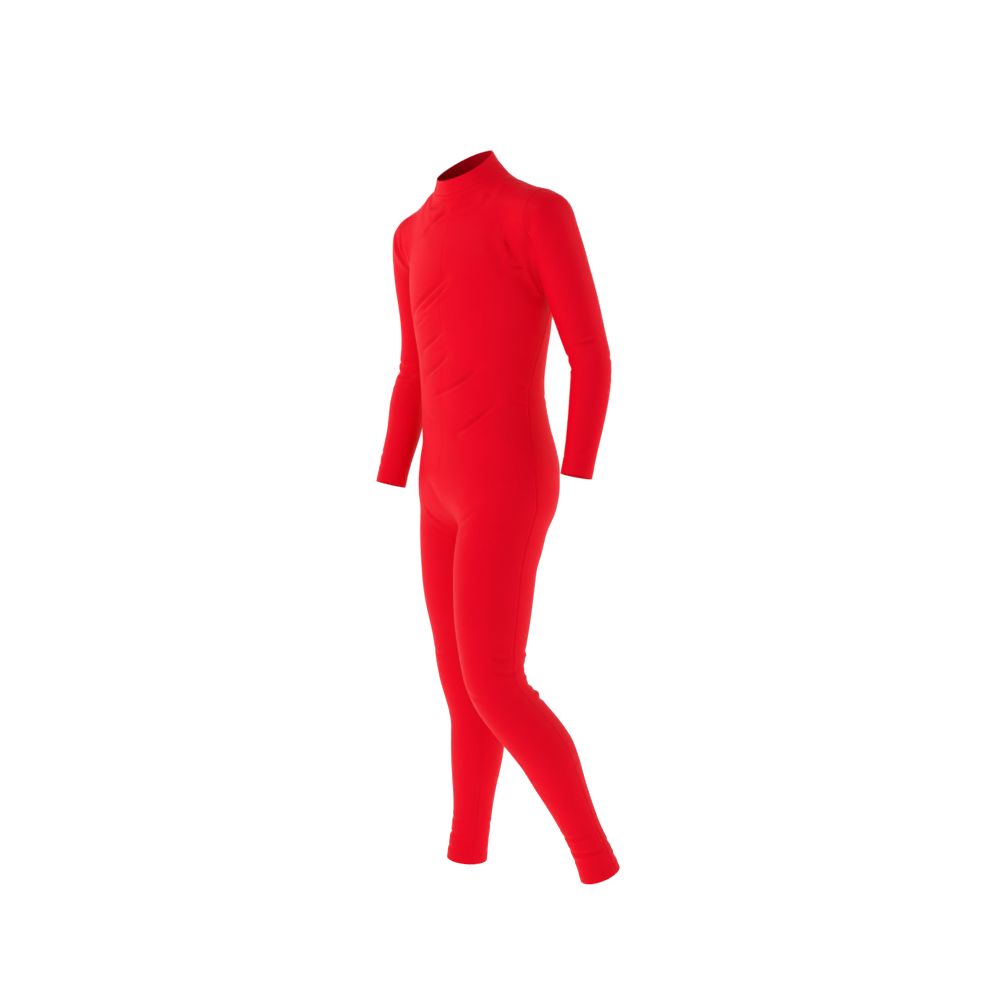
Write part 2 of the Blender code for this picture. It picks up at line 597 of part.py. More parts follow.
def block(low, high):
    """Corners and faces of a box between two corners."""
    points = np.array([[x, y, z] for x in (low[0], high[0]) for y in (low[1], high[1]) for z in (low[2], high[2])])
    faces = [[0, 1, 3, 2], [4, 6, 7, 5], [0, 4, 5, 1], [2, 3, 7, 6], [0, 2, 6, 4], [1, 5, 7, 3]]
    return points, faces


def rod(radius, half_length, out, sides=16):
    """Points and faces of a rod that lies across the zip."""
    turn = np.linspace(0, 2 * np.pi, sides, endpoint=False)
    ring = np.stack([np.zeros(sides), out + radius * np.cos(turn), radius * np.sin(turn)], axis=1)
    points = np.concatenate([ring - [half_length, 0, 0], ring + [half_length, 0, 0]])
    faces = [[k, (k + 1) % sides, sides + (k + 1) % sides, sides + k] for k in range(sides)]
    return points, faces + [list(range(sides))[::-1], list(range(sides, 2 * sides))]


def tab_plate():
    """The pull tab's plate: a narrow neck that widens to a body with a round end."""
    bend = np.radians(np.linspace(0, 180, 9))
    end = TAB_LENGTH - TAB_HALF_WIDTH
    outline = [(TAB_NECK_HALF_WIDTH, TAB_TOP), (TAB_NECK_HALF_WIDTH, -TAB_SHOULDER)]
    outline += [(TAB_HALF_WIDTH, -TAB_SHOULDER - TAB_SLOPE)]
    outline += [(TAB_HALF_WIDTH * np.cos(a), -end - TAB_HALF_WIDTH * np.sin(a)) for a in bend]
    outline += [(-TAB_HALF_WIDTH, -TAB_SHOULDER - TAB_SLOPE)]
    outline += [(-TAB_NECK_HALF_WIDTH, -TAB_SHOULDER), (-TAB_NECK_HALF_WIDTH, TAB_TOP)]
    count = len(outline)
    points = np.array([[x, y, z] for y in (-TAB_THICK / 2, TAB_THICK / 2) for x, z in outline])
    faces = [[k, (k + 1) % count, count + (k + 1) % count, count + k] for k in range(count)]
    return points, faces + [list(range(count))[::-1], list(range(count, 2 * count))]


def combine(piece, other, operation):
    """Join another shape to a piece or cut it out of the piece, and keep it only as a guide."""
    other.hide_render = True
    other.display_type = "WIRE"
    change = piece.modifiers.new(other.name, "BOOLEAN")
    change.operation = operation
    change.object = other


def place(piece, axes, at):
    """Set a piece in the frame of the zip."""
    frame = Matrix.Identity(4)
    for k in range(3):
        for row in range(3):
            frame[row][k] = axes[k][row]
    piece.matrix_world = Matrix.Translation(at.tolist()) @ frame


def zip_pull(strip):
    """The slider at the top of the zip, and the tab that hangs from the pin between its lugs."""
    down = unit(strip[2, 1] - strip[0, 1])
    across = np.array([1.0, 0.0, 0.0])
    out = unit(np.cross(across, down))
    across = np.cross(out, -down)
    seat = mix(strip[:1, 1], strip[1:2, 1], SEAT_SHARE)[0] + (CLOTH + 2 * SEAM_GAP) * out
    axes = (across, out, -down)

    slider = new_object("zip_slider", *block(
        (-SLIDER["half_width"], 0.0, -SLIDER["half_length"]),
        (SLIDER["half_width"], SLIDER["thick"], SLIDER["half_length"]),
    ), METAL, 0.9, 0.35)
    place(slider, axes, seat)
    for hand, name in ((-1, "lug_right"), (1, "lug_left")):
        near, far = sorted((hand * LUG["inner"], hand * LUG["outer"]))
        lug = new_object(name, *block(
            (near, LUG["foot"], -LUG["half_length"]), (far, LUG["top"], LUG["half_length"])
        ), METAL)
        place(lug, axes, seat)
        combine(slider, lug, "UNION")
    pin = new_object("pin", *rod(PIN_RADIUS, PIN_HALF_LENGTH, PIN_OUT), METAL)
    place(pin, axes, seat)
    combine(slider, pin, "UNION")

    tilt = np.radians(TAB_TILT)
    tab_up = -down * np.cos(tilt) - out * np.sin(tilt)
    tab_out = out * np.cos(tilt) - down * np.sin(tilt)
    tab_axes = (across, tab_out, tab_up)
    hinge = seat + PIN_OUT * out
    tab = new_object("zip_tab", *tab_plate(), METAL, 0.9, 0.35)
    eye = new_object("eye", *rod(EYE_RADIUS, TAB_NECK_HALF_WIDTH, 0.0), METAL)
    hole = new_object("eye_hole", *rod(EYE_HOLE_RADIUS, 2 * TAB_NECK_HALF_WIDTH, 0.0), METAL)
    for piece in (tab, eye, hole):
        place(piece, tab_axes, hinge)
    combine(tab, eye, "UNION")
    combine(tab, hole, "DIFFERENCE")


for old in list(bpy.data.objects):
    bpy.data.objects.remove(old)

for side, hand in ((1, "left"), (-1, "right")):
    wall("front_" + hand, body_panel(side, 1))
    wall("back_" + hand, body_panel(side, -1))
    wall("sleeve_" + hand, sleeve(side), closed=True)
collar_band = collar()
wall("collar", collar_band)
chain = zip_chain(collar_band)
wall("zip_chain", chain, colour=(0.55, 0.0, 0.02))
zip_pull(chain)
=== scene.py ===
"""A red stretch dance unitard: mock neck, long sleeves, ankle-length legs, zip at the centre back.

Metres, +Z up. The front faces -Y and the wearer's left is +X, as in the solids that this dresses.
"""

from collections import namedtuple

import bpy
import numpy as np
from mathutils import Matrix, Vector


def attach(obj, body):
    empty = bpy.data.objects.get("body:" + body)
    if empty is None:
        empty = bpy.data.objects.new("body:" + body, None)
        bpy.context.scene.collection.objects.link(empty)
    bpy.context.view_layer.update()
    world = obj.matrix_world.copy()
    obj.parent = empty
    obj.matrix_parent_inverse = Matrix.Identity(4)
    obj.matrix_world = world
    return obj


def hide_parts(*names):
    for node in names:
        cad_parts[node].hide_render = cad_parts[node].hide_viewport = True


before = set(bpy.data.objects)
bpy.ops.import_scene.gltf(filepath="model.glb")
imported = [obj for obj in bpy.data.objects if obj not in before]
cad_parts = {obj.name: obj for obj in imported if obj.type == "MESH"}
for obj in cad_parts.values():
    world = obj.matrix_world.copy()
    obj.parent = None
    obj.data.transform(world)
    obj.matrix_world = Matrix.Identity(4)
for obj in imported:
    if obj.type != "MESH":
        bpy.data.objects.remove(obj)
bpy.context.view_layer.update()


# THE FRONT AND BACK PIECES
# Four long pieces of red tricot, each cut from the neckline to one ankle and stretched over a
# general standing figure with its left heel raised. They are joined by overlocked seams: centre
# front, shoulders, sides and inseams. The centre back is open for the zip down to the waist.

# Sizes of the cloth and of the seams, in metres
CLOTH = 0.0015  # the cloth's face lies this far outside the form
SEAM_GAP = 0.0003  # space between two sewn pieces
ZIP_HALF_WIDTH = 0.0040  # from the centre back to the edge of each back piece
ZIP_END_Z = -0.430  # the zip ends just under the waist

# Grid of each cut piece: how many steps lie along each edge
NECK_STEPS = 4
SHOULDER_STEPS = 5
ARMHOLE_STEPS = 9
SIDE_STEPS = 18
LEG_STEPS = 21
SLEEVE_HEAD_STEPS = 6
SLEEVE_STEPS = 13
COLLAR_STEPS = 3

# Where the hems lie: 1 is the wearer's left side, -1 the right
HEM_Z = {1: -1.358, -1: -1.396}
CUFF_Z = {1: -0.546, -1: -0.600}

# An oval section of the form: its centre, its half width, its depth to the front and to the back,
# and its turn about the vertical in degrees, towards the wearer's left
Section = namedtuple("Section", "x y z half_width front back turn")

TORSO = [
    Section(0.000, 0.026, -0.590, 0.160, 0.088, 0.106, -7),
    Section(0.000, 0.027, -0.560, 0.168, 0.102, 0.126, -7),
    Section(0.001, 0.028, -0.515, 0.158, 0.101, 0.116, -6),
    Section(0.002, 0.023, -0.465, 0.148, 0.100, 0.106, -4),
    Section(0.003, 0.018, -0.415, 0.141, 0.098, 0.100, -2),
    Section(0.004, 0.015, -0.370, 0.139, 0.098, 0.099, 0),
    Section(0.004, 0.016, -0.320, 0.143, 0.100, 0.101, 2),
    Section(0.003, 0.017, -0.270, 0.150, 0.106, 0.104, 4),
    Section(0.002, 0.018, -0.210, 0.156, 0.112, 0.107, 6),
    Section(0.000, 0.018, -0.150, 0.154, 0.108, 0.106, 7),
    Section(0.000, 0.018, -0.095, 0.138, 0.090, 0.096, 7),
    Section(0.000, 0.010, -0.045, 0.105, 0.070, 0.074, 7),
    Section(0.000, 0.000, -0.010, 0.072, 0.058, 0.060, 5),
]
NECK = [
    Section(0.000, 0.012, -0.060, 0.058, 0.060, 0.060, 0),
    Section(0.000, -0.002, -0.005, 0.058, 0.060, 0.060, 0),
    Section(0.000, -0.019, 0.038, 0.053, 0.055, 0.055, 0),
    Section(0.000, -0.040, 0.095, 0.053, 0.055, 0.055, 0),
]
YOKE = [
    Section(-0.158, -0.006, -0.112, 0.043, 0.046, 0.050, 0),
    Section(-0.105, 0.002, -0.076, 0.046, 0.052, 0.060, 0),
    Section(0.000, 0.008, -0.044, 0.050, 0.056, 0.062, 0),
    Section(0.105, 0.028, -0.043, 0.046, 0.052, 0.060, 0),
    Section(0.160, 0.034, -0.064, 0.044, 0.047, 0.051, 0),
]
ARM = {
    1: [
        Section(0.163, 0.034, -0.066, 0.046, 0.049, 0.053, 5),
        Section(0.187, 0.046, -0.115, 0.047, 0.051, 0.053, 5),
        Section(0.201, 0.055, -0.160, 0.046, 0.048, 0.048, 5),
        Section(0.213, 0.067, -0.215, 0.044, 0.047, 0.047, 5),
        Section(0.222, 0.082, -0.275, 0.041, 0.043, 0.043, 8),
        Section(0.230, 0.097, -0.340, 0.037, 0.037, 0.040, 12),
        Section(0.231, 0.094, -0.385, 0.037, 0.037, 0.038, 15),
        Section(0.231, 0.085, -0.440, 0.034, 0.034, 0.034, 15),
        Section(0.233, 0.069, -0.505, 0.030, 0.029, 0.029, 15),
        Section(0.236, 0.050, -0.570, 0.029, 0.028, 0.028, 15),
    ],
    -1: [
        Section(-0.160, -0.004, -0.114, 0.045, 0.048, 0.052, 0),
        Section(-0.193, 0.012, -0.155, 0.048, 0.049, 0.051, 0),
        Section(-0.213, 0.030, -0.205, 0.045, 0.047, 0.047, 0),
        Section(-0.222, 0.043, -0.255, 0.043, 0.045, 0.045, 0),
        Section(-0.226, 0.046, -0.320, 0.040, 0.041, 0.041, 0),
        Section(-0.227, 0.036, -0.370, 0.037, 0.037, 0.040, -4),
        Section(-0.224, 0.009, -0.440, 0.037, 0.036, 0.037, -6),
        Section(-0.215, -0.010, -0.495, 0.034, 0.033, 0.033, -6),
        Section(-0.211, -0.031, -0.545, 0.031, 0.030, 0.030, -6),
        Section(-0.209, -0.054, -0.615, 0.030, 0.028, 0.028, -6),
        Section(-0.209, -0.062, -0.640, 0.030, 0.028, 0.028, -6),
    ],
}
LEG = {
    1: [
        Section(0.086, 0.014, -0.605, 0.074, 0.082, 0.092, 0),
        Section(0.086, -0.004, -0.664, 0.079, 0.084, 0.092, 0),
        Section(0.086, -0.018, -0.720, 0.077, 0.082, 0.084, 0),
        Section(0.088, -0.024, -0.775, 0.074, 0.080, 0.080, 0),
        Section(0.092, -0.031, -0.840, 0.068, 0.075, 0.074, 0),
        Section(0.098, -0.036, -0.900, 0.061, 0.066, 0.064, 0),
        Section(0.106, -0.034, -0.955, 0.056, 0.059, 0.058, 0),
        Section(0.118, -0.014, -1.000, 0.055, 0.058, 0.058, 5),
        Section(0.135, 0.014, -1.045, 0.055, 0.056, 0.062, 10),
        Section(0.156, 0.048, -1.100, 0.055, 0.052, 0.065, 12),
        Section(0.169, 0.073, -1.160, 0.049, 0.045, 0.055, 12),
        Section(0.181, 0.096, -1.215, 0.041, 0.039, 0.045, 12),
        Section(0.192, 0.118, -1.268, 0.036, 0.037, 0.039, 12),
        Section(0.202, 0.138, -1.318, 0.037, 0.039, 0.040, 12),
        Section(0.212, 0.158, -1.380, 0.040, 0.042, 0.043, 12),
    ],
    -1: [
        Section(-0.100, 0.050, -0.605, 0.074, 0.082, 0.092, -10),
        Section(-0.105, 0.050, -0.680, 0.077, 0.083, 0.090, -14),
        Section(-0.110, 0.053, -0.760, 0.074, 0.080, 0.082, -16),
        Section(-0.111, 0.056, -0.822, 0.070, 0.076, 0.075, -18),
        Section(-0.111, 0.062, -0.873, 0.065, 0.070, 0.069, -20),
        Section(-0.112, 0.066, -0.925, 0.058, 0.063, 0.061, -22),
        Section(-0.111, 0.069, -0.980, 0.055, 0.059, 0.056, -25),
        Section(-0.106, 0.078, -1.032, 0.053, 0.055, 0.056, -25),
        Section(-0.102, 0.086, -1.080, 0.052, 0.052, 0.058, -25),
        Section(-0.105, 0.087, -1.155, 0.054, 0.050, 0.058, -25),
        Section(-0.111, 0.087, -1.220, 0.047, 0.044, 0.049, -25),
        Section(-0.116, 0.088, -1.275, 0.039, 0.039, 0.042, -25),
        Section(-0.121, 0.087, -1.323, 0.036, 0.038, 0.040, -25),
        Section(-0.127, 0.084, -1.370, 0.037, 0.040, 0.041, -25),
        Section(-0.133, 0.082, -1.430, 0.038, 0.041, 0.042, -25),
    ],
}

# The neckline and the top edge of the collar: middle height, fall to the front, rise to the left
NECKLINE = {"middle": 0.000, "fall": 0.024, "tilt": 0.006, "radius": 0.062}
COLLAR_TOP = {"middle": 0.038, "fall": 0.028, "tilt": 0.007}

# The middle of each armhole's ring
ARMHOLE_MIDDLE = {1: (0.166, 0.045, -0.092), -1: (-0.163, 0.020, -0.128)}

# A large fold: its two ends, its depth (a trough is negative) and its width
Fold = namedtuple("Fold", "start end depth width")
FOLDS = [
    Fold((-0.090, -0.080, -0.245), (0.026, -0.092, -0.172), -0.0028, 0.013),
    Fold((-0.065, -0.078, -0.317), (0.008, -0.090, -0.278), -0.0024, 0.013),
    Fold((-0.056, -0.078, -0.367), (0.020, -0.084, -0.323), -0.0024, 0.012),
    Fold((0.000, -0.083, -0.394), (0.092, -0.066, -0.344), -0.0026, 0.013),
    Fold((0.040, -0.078, -0.469), (0.119, -0.046, -0.409), -0.0028, 0.013),
    Fold((0.180, -0.012, -0.070), (0.168, -0.009, -0.115), -0.0045, 0.015),
    Fold((0.168, -0.009, -0.115), (0.160, 0.040, -0.190), -0.0045, 0.014),
    Fold((-0.155, -0.060, -0.110), (-0.158, -0.020, -0.180), -0.0035, 0.014),
    Fold((0.164, 0.093, -0.080), (0.161, 0.068, -0.170), -0.0035, 0.014),
    Fold((-0.170, 0.062, -0.110), (-0.167, 0.050, -0.180), -0.0035, 0.014),
    Fold((0.225, 0.055, -0.335), (0.262, 0.066, -0.330), -0.0030, 0.012),
    Fold((-0.250, 0.000, -0.375), (-0.205, 0.000, -0.380), -0.0030, 0.012),
    Fold((0.060, 0.022, -0.945), (0.150, 0.022, -0.950), -0.0035, 0.014),
    Fold((-0.060, -0.062, -0.585), (-0.020, -0.050, -0.650), -0.0024, 0.014),
    Fold((0.100, -0.078, -0.590), (0.020, -0.055, -0.655), -0.0024, 0.014),
    Fold((-0.090, 0.120, -0.355), (-0.010, 0.112, -0.395), -0.0024, 0.013),
    Fold((0.095, 0.108, -0.340), (0.020, 0.112, -0.390), -0.0024, 0.013),
    Fold((-0.035, 0.140, -0.640), (-0.150, 0.130, -0.665), -0.0026, 0.014),
    Fold((0.035, 0.120, -0.650), (0.140, 0.080, -0.680), -0.0026, 0.014),
]


def unit(vectors):
    """Each vector at length one."""
    return vectors / np.maximum(np.linalg.norm(vectors, axis=-1, keepdims=True), 1e-12)


def smooth_curve(table, count):
    """Even samples of the smooth curve that passes through every row of a table."""
    at = np.concatenate([[0.0], np.cumsum(np.linalg.norm(np.diff(table[:, :3], axis=0), axis=1))])
    slope = np.gradient(table, at, axis=0)
    along = np.linspace(0.0, at[-1], count)
    i = np.clip(np.searchsorted(at, along, side="right") - 1, 0, len(at) - 2)
    step = (at[i + 1] - at[i])[:, None]
    w = (along - at[i])[:, None] / step
    return (
        (2 * w**3 - 3 * w**2 + 1) * table[i]
        + (w**3 - 2 * w**2 + w) * step * slope[i]
        + (3 * w**2 - 2 * w**3) * table[i + 1]
        + (w**3 - w**2) * step * slope[i + 1]
    )


class Tube:
    """A stretch of the form: oval sections carried along a smooth line."""

    def __init__(self, sections, count, roundness=2.0, level=False):
        table = smooth_curve(np.array(sections, dtype=float), count)
        self.middle = table[:, :3]
        self.half_width, self.front, self.back = table[:, 3], table[:, 4], table[:, 5]
        self.roundness = roundness
        turn = np.radians(table[:, 6])
        ahead = np.stack([np.sin(turn), -np.cos(turn), np.zeros(count)], axis=1)
        run = unit(np.gradient(self.middle, axis=0))
        if level:
            self.ahead = unit(ahead - run * np.sum(run * ahead, axis=1, keepdims=True))
            self.side = unit(np.cross(self.ahead, run))
            self.up = run
        else:
            self.up = run * np.sign(run[:, 2:3])
            self.side = unit(np.cross(self.up, ahead))
            self.ahead = np.cross(self.side, self.up)

    def distance(self, points):
        """Roughly how far each point lies outside the tube; negative inside."""
        start, run = self.middle[:-1], np.diff(self.middle, axis=0)
        offset = points[:, None, :] - start[None]
        share = np.clip(np.sum(offset * run, axis=2) / np.sum(run * run, axis=1), 0, 1)
        offset = offset - share[..., None] * run[None]

        def between(values):
            return values[:-1] * (1 - share) + values[1:] * share

        def part_along(axis):
            before, after = np.sum(offset * axis[:-1], axis=2), np.sum(offset * axis[1:], axis=2)
            return before * (1 - share) + after * share

        across, deep = part_along(self.side), part_along(self.ahead)
        beyond = np.sum(offset * unit(run), axis=2)
        wide = between(self.half_width)
        thick = np.where(deep > 0, between(self.front), between(self.back))
        power = self.roundness
        oval = (np.abs(across) / wide) ** power + (np.abs(deep) / thick) ** power
        oval = np.sqrt(oval ** (2 / power) + (beyond / np.minimum(wide, thick)) ** 2) + 1e-9
        reach = np.linalg.norm(offset, axis=2)
        return np.min(reach - reach / oval, axis=1)

    def at_height(self, z):
        """Middle, side, ahead and up of the tube where its line passes the height z."""
        order = np.argsort(self.middle[:, 2])
        heights = self.middle[order, 2]

        def read(values):
            return np.stack([np.interp(z, heights, values[order, k]) for k in range(3)], axis=-1)

        return read(self.middle), unit(read(self.side)), unit(read(self.ahead)), unit(read(self.up))


def soft_union(first, second, blend):
    """The nearer of two distances, rounded where they are alike."""
    closeness = np.maximum(blend - np.abs(first - second), 0) / blend
    return np.minimum(first, second) - closeness**2 * blend / 4


TORSO_TUBE = Tube(TORSO, 34, roundness=2.2)
NECK_TUBE = Tube(NECK, 8)
YOKE_TUBE = Tube(YOKE, 12, level=True)
ARM_TUBE = {side: Tube(ARM[side], 26) for side in (1, -1)}
LEG_TUBE = {side: Tube(LEG[side], 32) for side in (1, -1)}


# How widely the stretches of the form run into each other
BLEND = {
    "yoke": 0.035,
    "neck": 0.030,
    "shoulder": 0.045,
    "armpit": 0.018,
    "between_legs": 0.012,
    "hips": 0.050,
}
ARMPIT_DROP = 0.080  # from the arm's top down to the armpit
HIPS = {"z": -0.620, "reach": 0.150}


def form(points):
    """Distance outside the whole general figure that the cloth is stretched over."""
    body = soft_union(TORSO_TUBE.distance(points), YOKE_TUBE.distance(points), BLEND["yoke"])
    body = soft_union(body, NECK_TUBE.distance(points), BLEND["neck"])
    for side in (1, -1):
        low_on_arm = np.clip((ARM[side][0].z - points[:, 2]) / ARMPIT_DROP, 0, 1)
        blend = BLEND["shoulder"] + (BLEND["armpit"] - BLEND["shoulder"]) * low_on_arm
        body = soft_union(body, ARM_TUBE[side].distance(points), blend)
    legs = soft_union(LEG_TUBE[1].distance(points), LEG_TUBE[-1].distance(points), BLEND["between_legs"])
    near_hips = np.clip(1 - np.abs(points[:, 2] - HIPS["z"]) / HIPS["reach"], 0, 1)
    blend = BLEND["between_legs"] + (BLEND["hips"] - BLEND["between_legs"]) * near_hips
    return soft_union(body, legs, blend)


CAST_STEPS = 45
CAST_CAUTION = 0.9  # share of the distance to the form that each step of a ray goes


def cast(origin, towards):
    """Where rays from inside first leave the form."""
    towards = unit(np.asarray(towards, dtype=float))
    shape = towards.shape
    towards = towards.reshape(-1, 3)
    origin = np.broadcast_to(origin, shape).reshape(-1, 3)
    reach = np.zeros(len(towards))
    for _ in range(CAST_STEPS):
        reach = reach - CAST_CAUTION * form(origin + reach[:, None] * towards)
    return (origin + reach[:, None] * towards).reshape(shape)


def outward(points):
    """Unit normals of the form at points on it."""
    flat = points.reshape(-1, 3)
    small = 0.0015
    slopes = [form(flat + small * axis) - form(flat - small * axis) for axis in np.eye(3)]
    return unit(np.stack(slopes, axis=1)).reshape(points.shape)


def mix(first, second, share):
    """A blend of two arrays; the share may hold one value for each row."""
    share = np.asarray(share, dtype=float)
    if share.ndim:
        share = share[:, None]
    return first * (1 - share) + second * share


def settle(points):
    """Points near the form, moved onto it along its normals."""
    for _ in range(4):
        points = points - form(points)[:, None] * outward(points)
    return points


NECK_MIDDLE_Y = 0.002


def neck_ring(angles, ring, radius):
    """Points round the neck at a height that falls to the front; angle 0 is the front, + is left."""
    height = ring["middle"] - ring["fall"] * np.cos(angles) + ring["tilt"] * np.sin(angles)
    ahead = NECK_MIDDLE_Y - radius * np.cos(angles)
    return np.stack([radius * np.sin(angles), ahead, height], axis=1)


def neckline(side, way):
    """The seam under the collar from the centre front or back to the shoulder seam."""
    clear = ZIP_HALF_WIDTH / NECKLINE["radius"] if way < 0 else 0.0
    angles = np.linspace(clear, np.pi / 2, NECK_STEPS + 1)
    if way < 0:
        angles = np.pi - angles
    under_neck = np.array([0.0, 0.004, -0.060])
    return cast(under_neck, neck_ring(side * angles, NECKLINE, NECKLINE["radius"]) - under_neck)


def armhole(side, way):
    """Half of an armhole, from the shoulder's tip down the front or the back to the underarm."""
    middle = np.array(ARMHOLE_MIDDLE[side])
    ahead = TORSO_TUBE.at_height(middle[2])[2]
    angles = np.linspace(0, np.pi, ARMHOLE_STEPS + 1)[:, None]
    return cast(middle, np.cos(angles) * np.array([0.0, 0.0, 1.0]) + way * np.sin(angles) * ahead)


def shoulder_seam(side):
    """The seam over the shoulder, from the neckline to the shoulder's tip."""
    near_neck = neckline(side, 1)[-1]
    tip = armhole(side, 1)[0]
    share = np.linspace(0, 1, SHOULDER_STEPS + 1)
    start = near_neck - np.array([0.0, 0.0, 0.060])
    middles = mix(start[None], np.array(ARMHOLE_MIDDLE[side])[None], share)
    seam = cast(middles, np.array([[0.0, 0.0, 1.0]] * len(share)))
    seam[0], seam[-1] = near_neck, tip
    return seam


CHEST_Z = -0.200  # rows above this height fan out from one point inside the chest
HIP_Z = -0.500  # below this height the rows' middles move over to the legs
SEAT_Z = -0.590  # the centre seams turn under the body from here
SEAT_STEPS = 4
SEAT_MIDDLE = np.array([-0.008, 0.028, SEAT_Z])


def centre_line(way, gap=0.0, side=1):
    """The centre front or back, from the chest's top to the crotch, moved aside by half a gap."""
    heights = CENTRE_Z[way]
    middle, across, ahead, _ = TORSO_TUBE.at_height(heights)
    lean = np.clip((HIP_Z - heights) / (HIP_Z - SEAT_Z), 0, 1)
    middle = mix(middle, middle + (SEAT_MIDDLE - middle) * [1, 1, 0], lean)
    upper = cast(middle + side * across * np.asarray(gap)[..., None], way * ahead)
    under = np.radians(np.linspace(90 / SEAT_STEPS, 90, SEAT_STEPS))[:, None]
    ahead = TORSO_TUBE.at_height(SEAT_Z)[2]
    lower = cast(SEAT_MIDDLE, way * np.cos(under) * ahead - np.sin(under) * np.array([0.0, 0.0, 1.0]))
    return np.concatenate([upper, lower])


# Heights of the rows along the centre front and the centre back, from just under the neckline
CENTRE_Z = {
    way: np.concatenate(
        [
            np.linspace(top, CHEST_Z, ARMHOLE_STEPS + 1)[1:],
            np.linspace(CHEST_Z, SEAT_Z, SIDE_STEPS - SEAT_STEPS + 1)[1:],
        ]
    )
    for way, top in ((1, -0.024), (-1, 0.022))
}
CROTCH = cast(SEAT_MIDDLE, np.array([0.0, 0.0, -1.0]))
ZIP_ROW = int(np.argmin(np.abs(CENTRE_Z[-1] - ZIP_END_Z)))


def body_rows(side):
    """Middle, side, ahead and up of every row of a front or back piece, neck to hem."""
    underarm_z = armhole(side, 1)[-1, 2]
    body_z = np.linspace(underarm_z, CROTCH[2], SIDE_STEPS + 1)
    body_z = np.concatenate([np.full(ARMHOLE_STEPS, CHEST_Z), np.minimum(body_z, CHEST_Z)])
    leg_z = np.linspace(CROTCH[2], HEM_Z[side], LEG_STEPS + 1)[1:]
    over = np.clip((HIP_Z - body_z) / (HIP_Z - CROTCH[2]), 0, 1)
    over = over * over * (3 - 2 * over)
    torso = TORSO_TUBE.at_height(body_z)
    thigh = LEG_TUBE[side].at_height(body_z)
    shank = LEG_TUBE[side].at_height(leg_z)
    rows = []
    for on_torso, on_thigh, on_leg in zip(torso, thigh, shank):
        rows.append(np.concatenate([mix(on_torso, on_thigh, over), on_leg]))
    rows[0][: len(body_z), 2] = body_z
    return [rows[0]] + [unit(axis) for axis in rows[1:]]


SIDE_SEAM_BACK = np.radians(13)  # how far behind the arm's middle the side seam starts
SIDE_SEAM_ROWS = 6  # it has come round to the side within so many rows
INSEAM_ROWS = 4  # the inseam leaves the crotch within so many rows
TOP_HOLD = 1.5  # how soon the rows lose the shape of the neckline


def side_seam(side, rows):
    """The seam from the underarm down the side and the outer leg to the hem."""
    first = ARMHOLE_STEPS + 1
    middle, across, ahead, _ = (values[first:] for values in rows)
    back = SIDE_SEAM_BACK * np.clip(1 - np.arange(len(middle)) / SIDE_SEAM_ROWS, 0, 1)[:, None]
    return cast(middle, side * across * np.cos(back) - ahead * np.sin(back))


def inseam(side, rows):
    """The seam inside the leg from the crotch to the hem."""
    first = ARMHOLE_STEPS + SIDE_STEPS + 1
    middle, across, ahead, _ = (values[first:] for values in rows)
    to_crotch = CROTCH - middle[0]
    lag = np.arctan2(-to_crotch @ ahead[0], -side * (to_crotch @ across[0]))
    lag = lag * np.clip(1 - np.arange(1, len(middle) + 1) / INSEAM_ROWS, 0, 1)[:, None]
    return cast(middle, -side * across * np.cos(lag) - ahead * np.sin(lag))


def body_panel(side, way):
    """One front (way +1) or back (way -1) piece: a grid from the neck to the hem, centre to side."""
    rows = body_rows(side)
    middle, across, ahead, up = rows
    neck = neckline(side, way)
    top = np.concatenate([neck, shoulder_seam(side)[1:]])
    gap = np.zeros(len(CENTRE_Z[way]))
    if way < 0:
        gap[: ZIP_ROW + 1] = ZIP_HALF_WIDTH
    centre = np.concatenate([neck[:1], centre_line(way, gap, side), inseam(side, rows)])
    outer = np.concatenate([armhole(side, way), side_seam(side, rows)])

    def bearings(points, k):
        offset = points - middle[k]
        out = side * np.sum(offset * across[k], axis=-1)
        forward = way * np.sum(offset * ahead[k], axis=-1)
        rise = np.sum(offset * up[k], axis=-1)
        return np.stack([np.arctan2(out, forward), np.arctan2(rise, np.hypot(out, forward))], axis=-1)

    every = np.arange(len(middle))
    steps = np.linspace(0, 1, len(top))
    inner_edge, outer_edge, top_edge = bearings(centre, every), bearings(outer, every), bearings(top, 0)
    angles = inner_edge[:, None] * (1 - steps)[None, :, None] + outer_edge[:, None] * steps[None, :, None]
    hold = np.clip(1 - every / ARMHOLE_STEPS, 0, 1) ** TOP_HOLD
    angles = angles + hold[:, None, None] * (top_edge - angles[0])[None]
    turn, rise = angles[..., 0:1], angles[..., 1:2]
    towards = (
        np.cos(rise) * np.sin(turn) * side * across[:, None]
        + np.cos(rise) * np.cos(turn) * way * ahead[:, None]
        + np.sin(rise) * up[:, None]
    )
    grid = cast(np.broadcast_to(middle[:, None], towards.shape), towards)
    grid[0], grid[:, 0], grid[:, -1] = top, centre, outer
    return grid


# How closely the cloth is drawn: for each stretch of the body pieces, how many grid steps it has
# and how many lines to one step, closest where the creases lie; then the extra lines at a seam
Stretch = namedtuple("Stretch", "name steps lines")
STRETCHES = [
    Stretch("shoulders", 9, 8),
    Stretch("chest and waist", 13, 12),
    Stretch("hips and thighs", 11, 5),
    Stretch("knees", 5, 10),
    Stretch("calves", 6, 5),
    Stretch("ankles", 4, 10),
]
COLUMN_LINES = 10
SLEEVE_LINES = 9
SEAM_LINES = (0.030, 0.062)
KNIT = 0.0012  # thickness of the drawn cloth, measured inwards
HEM_DEEP = 0.021  # width of a turned hem

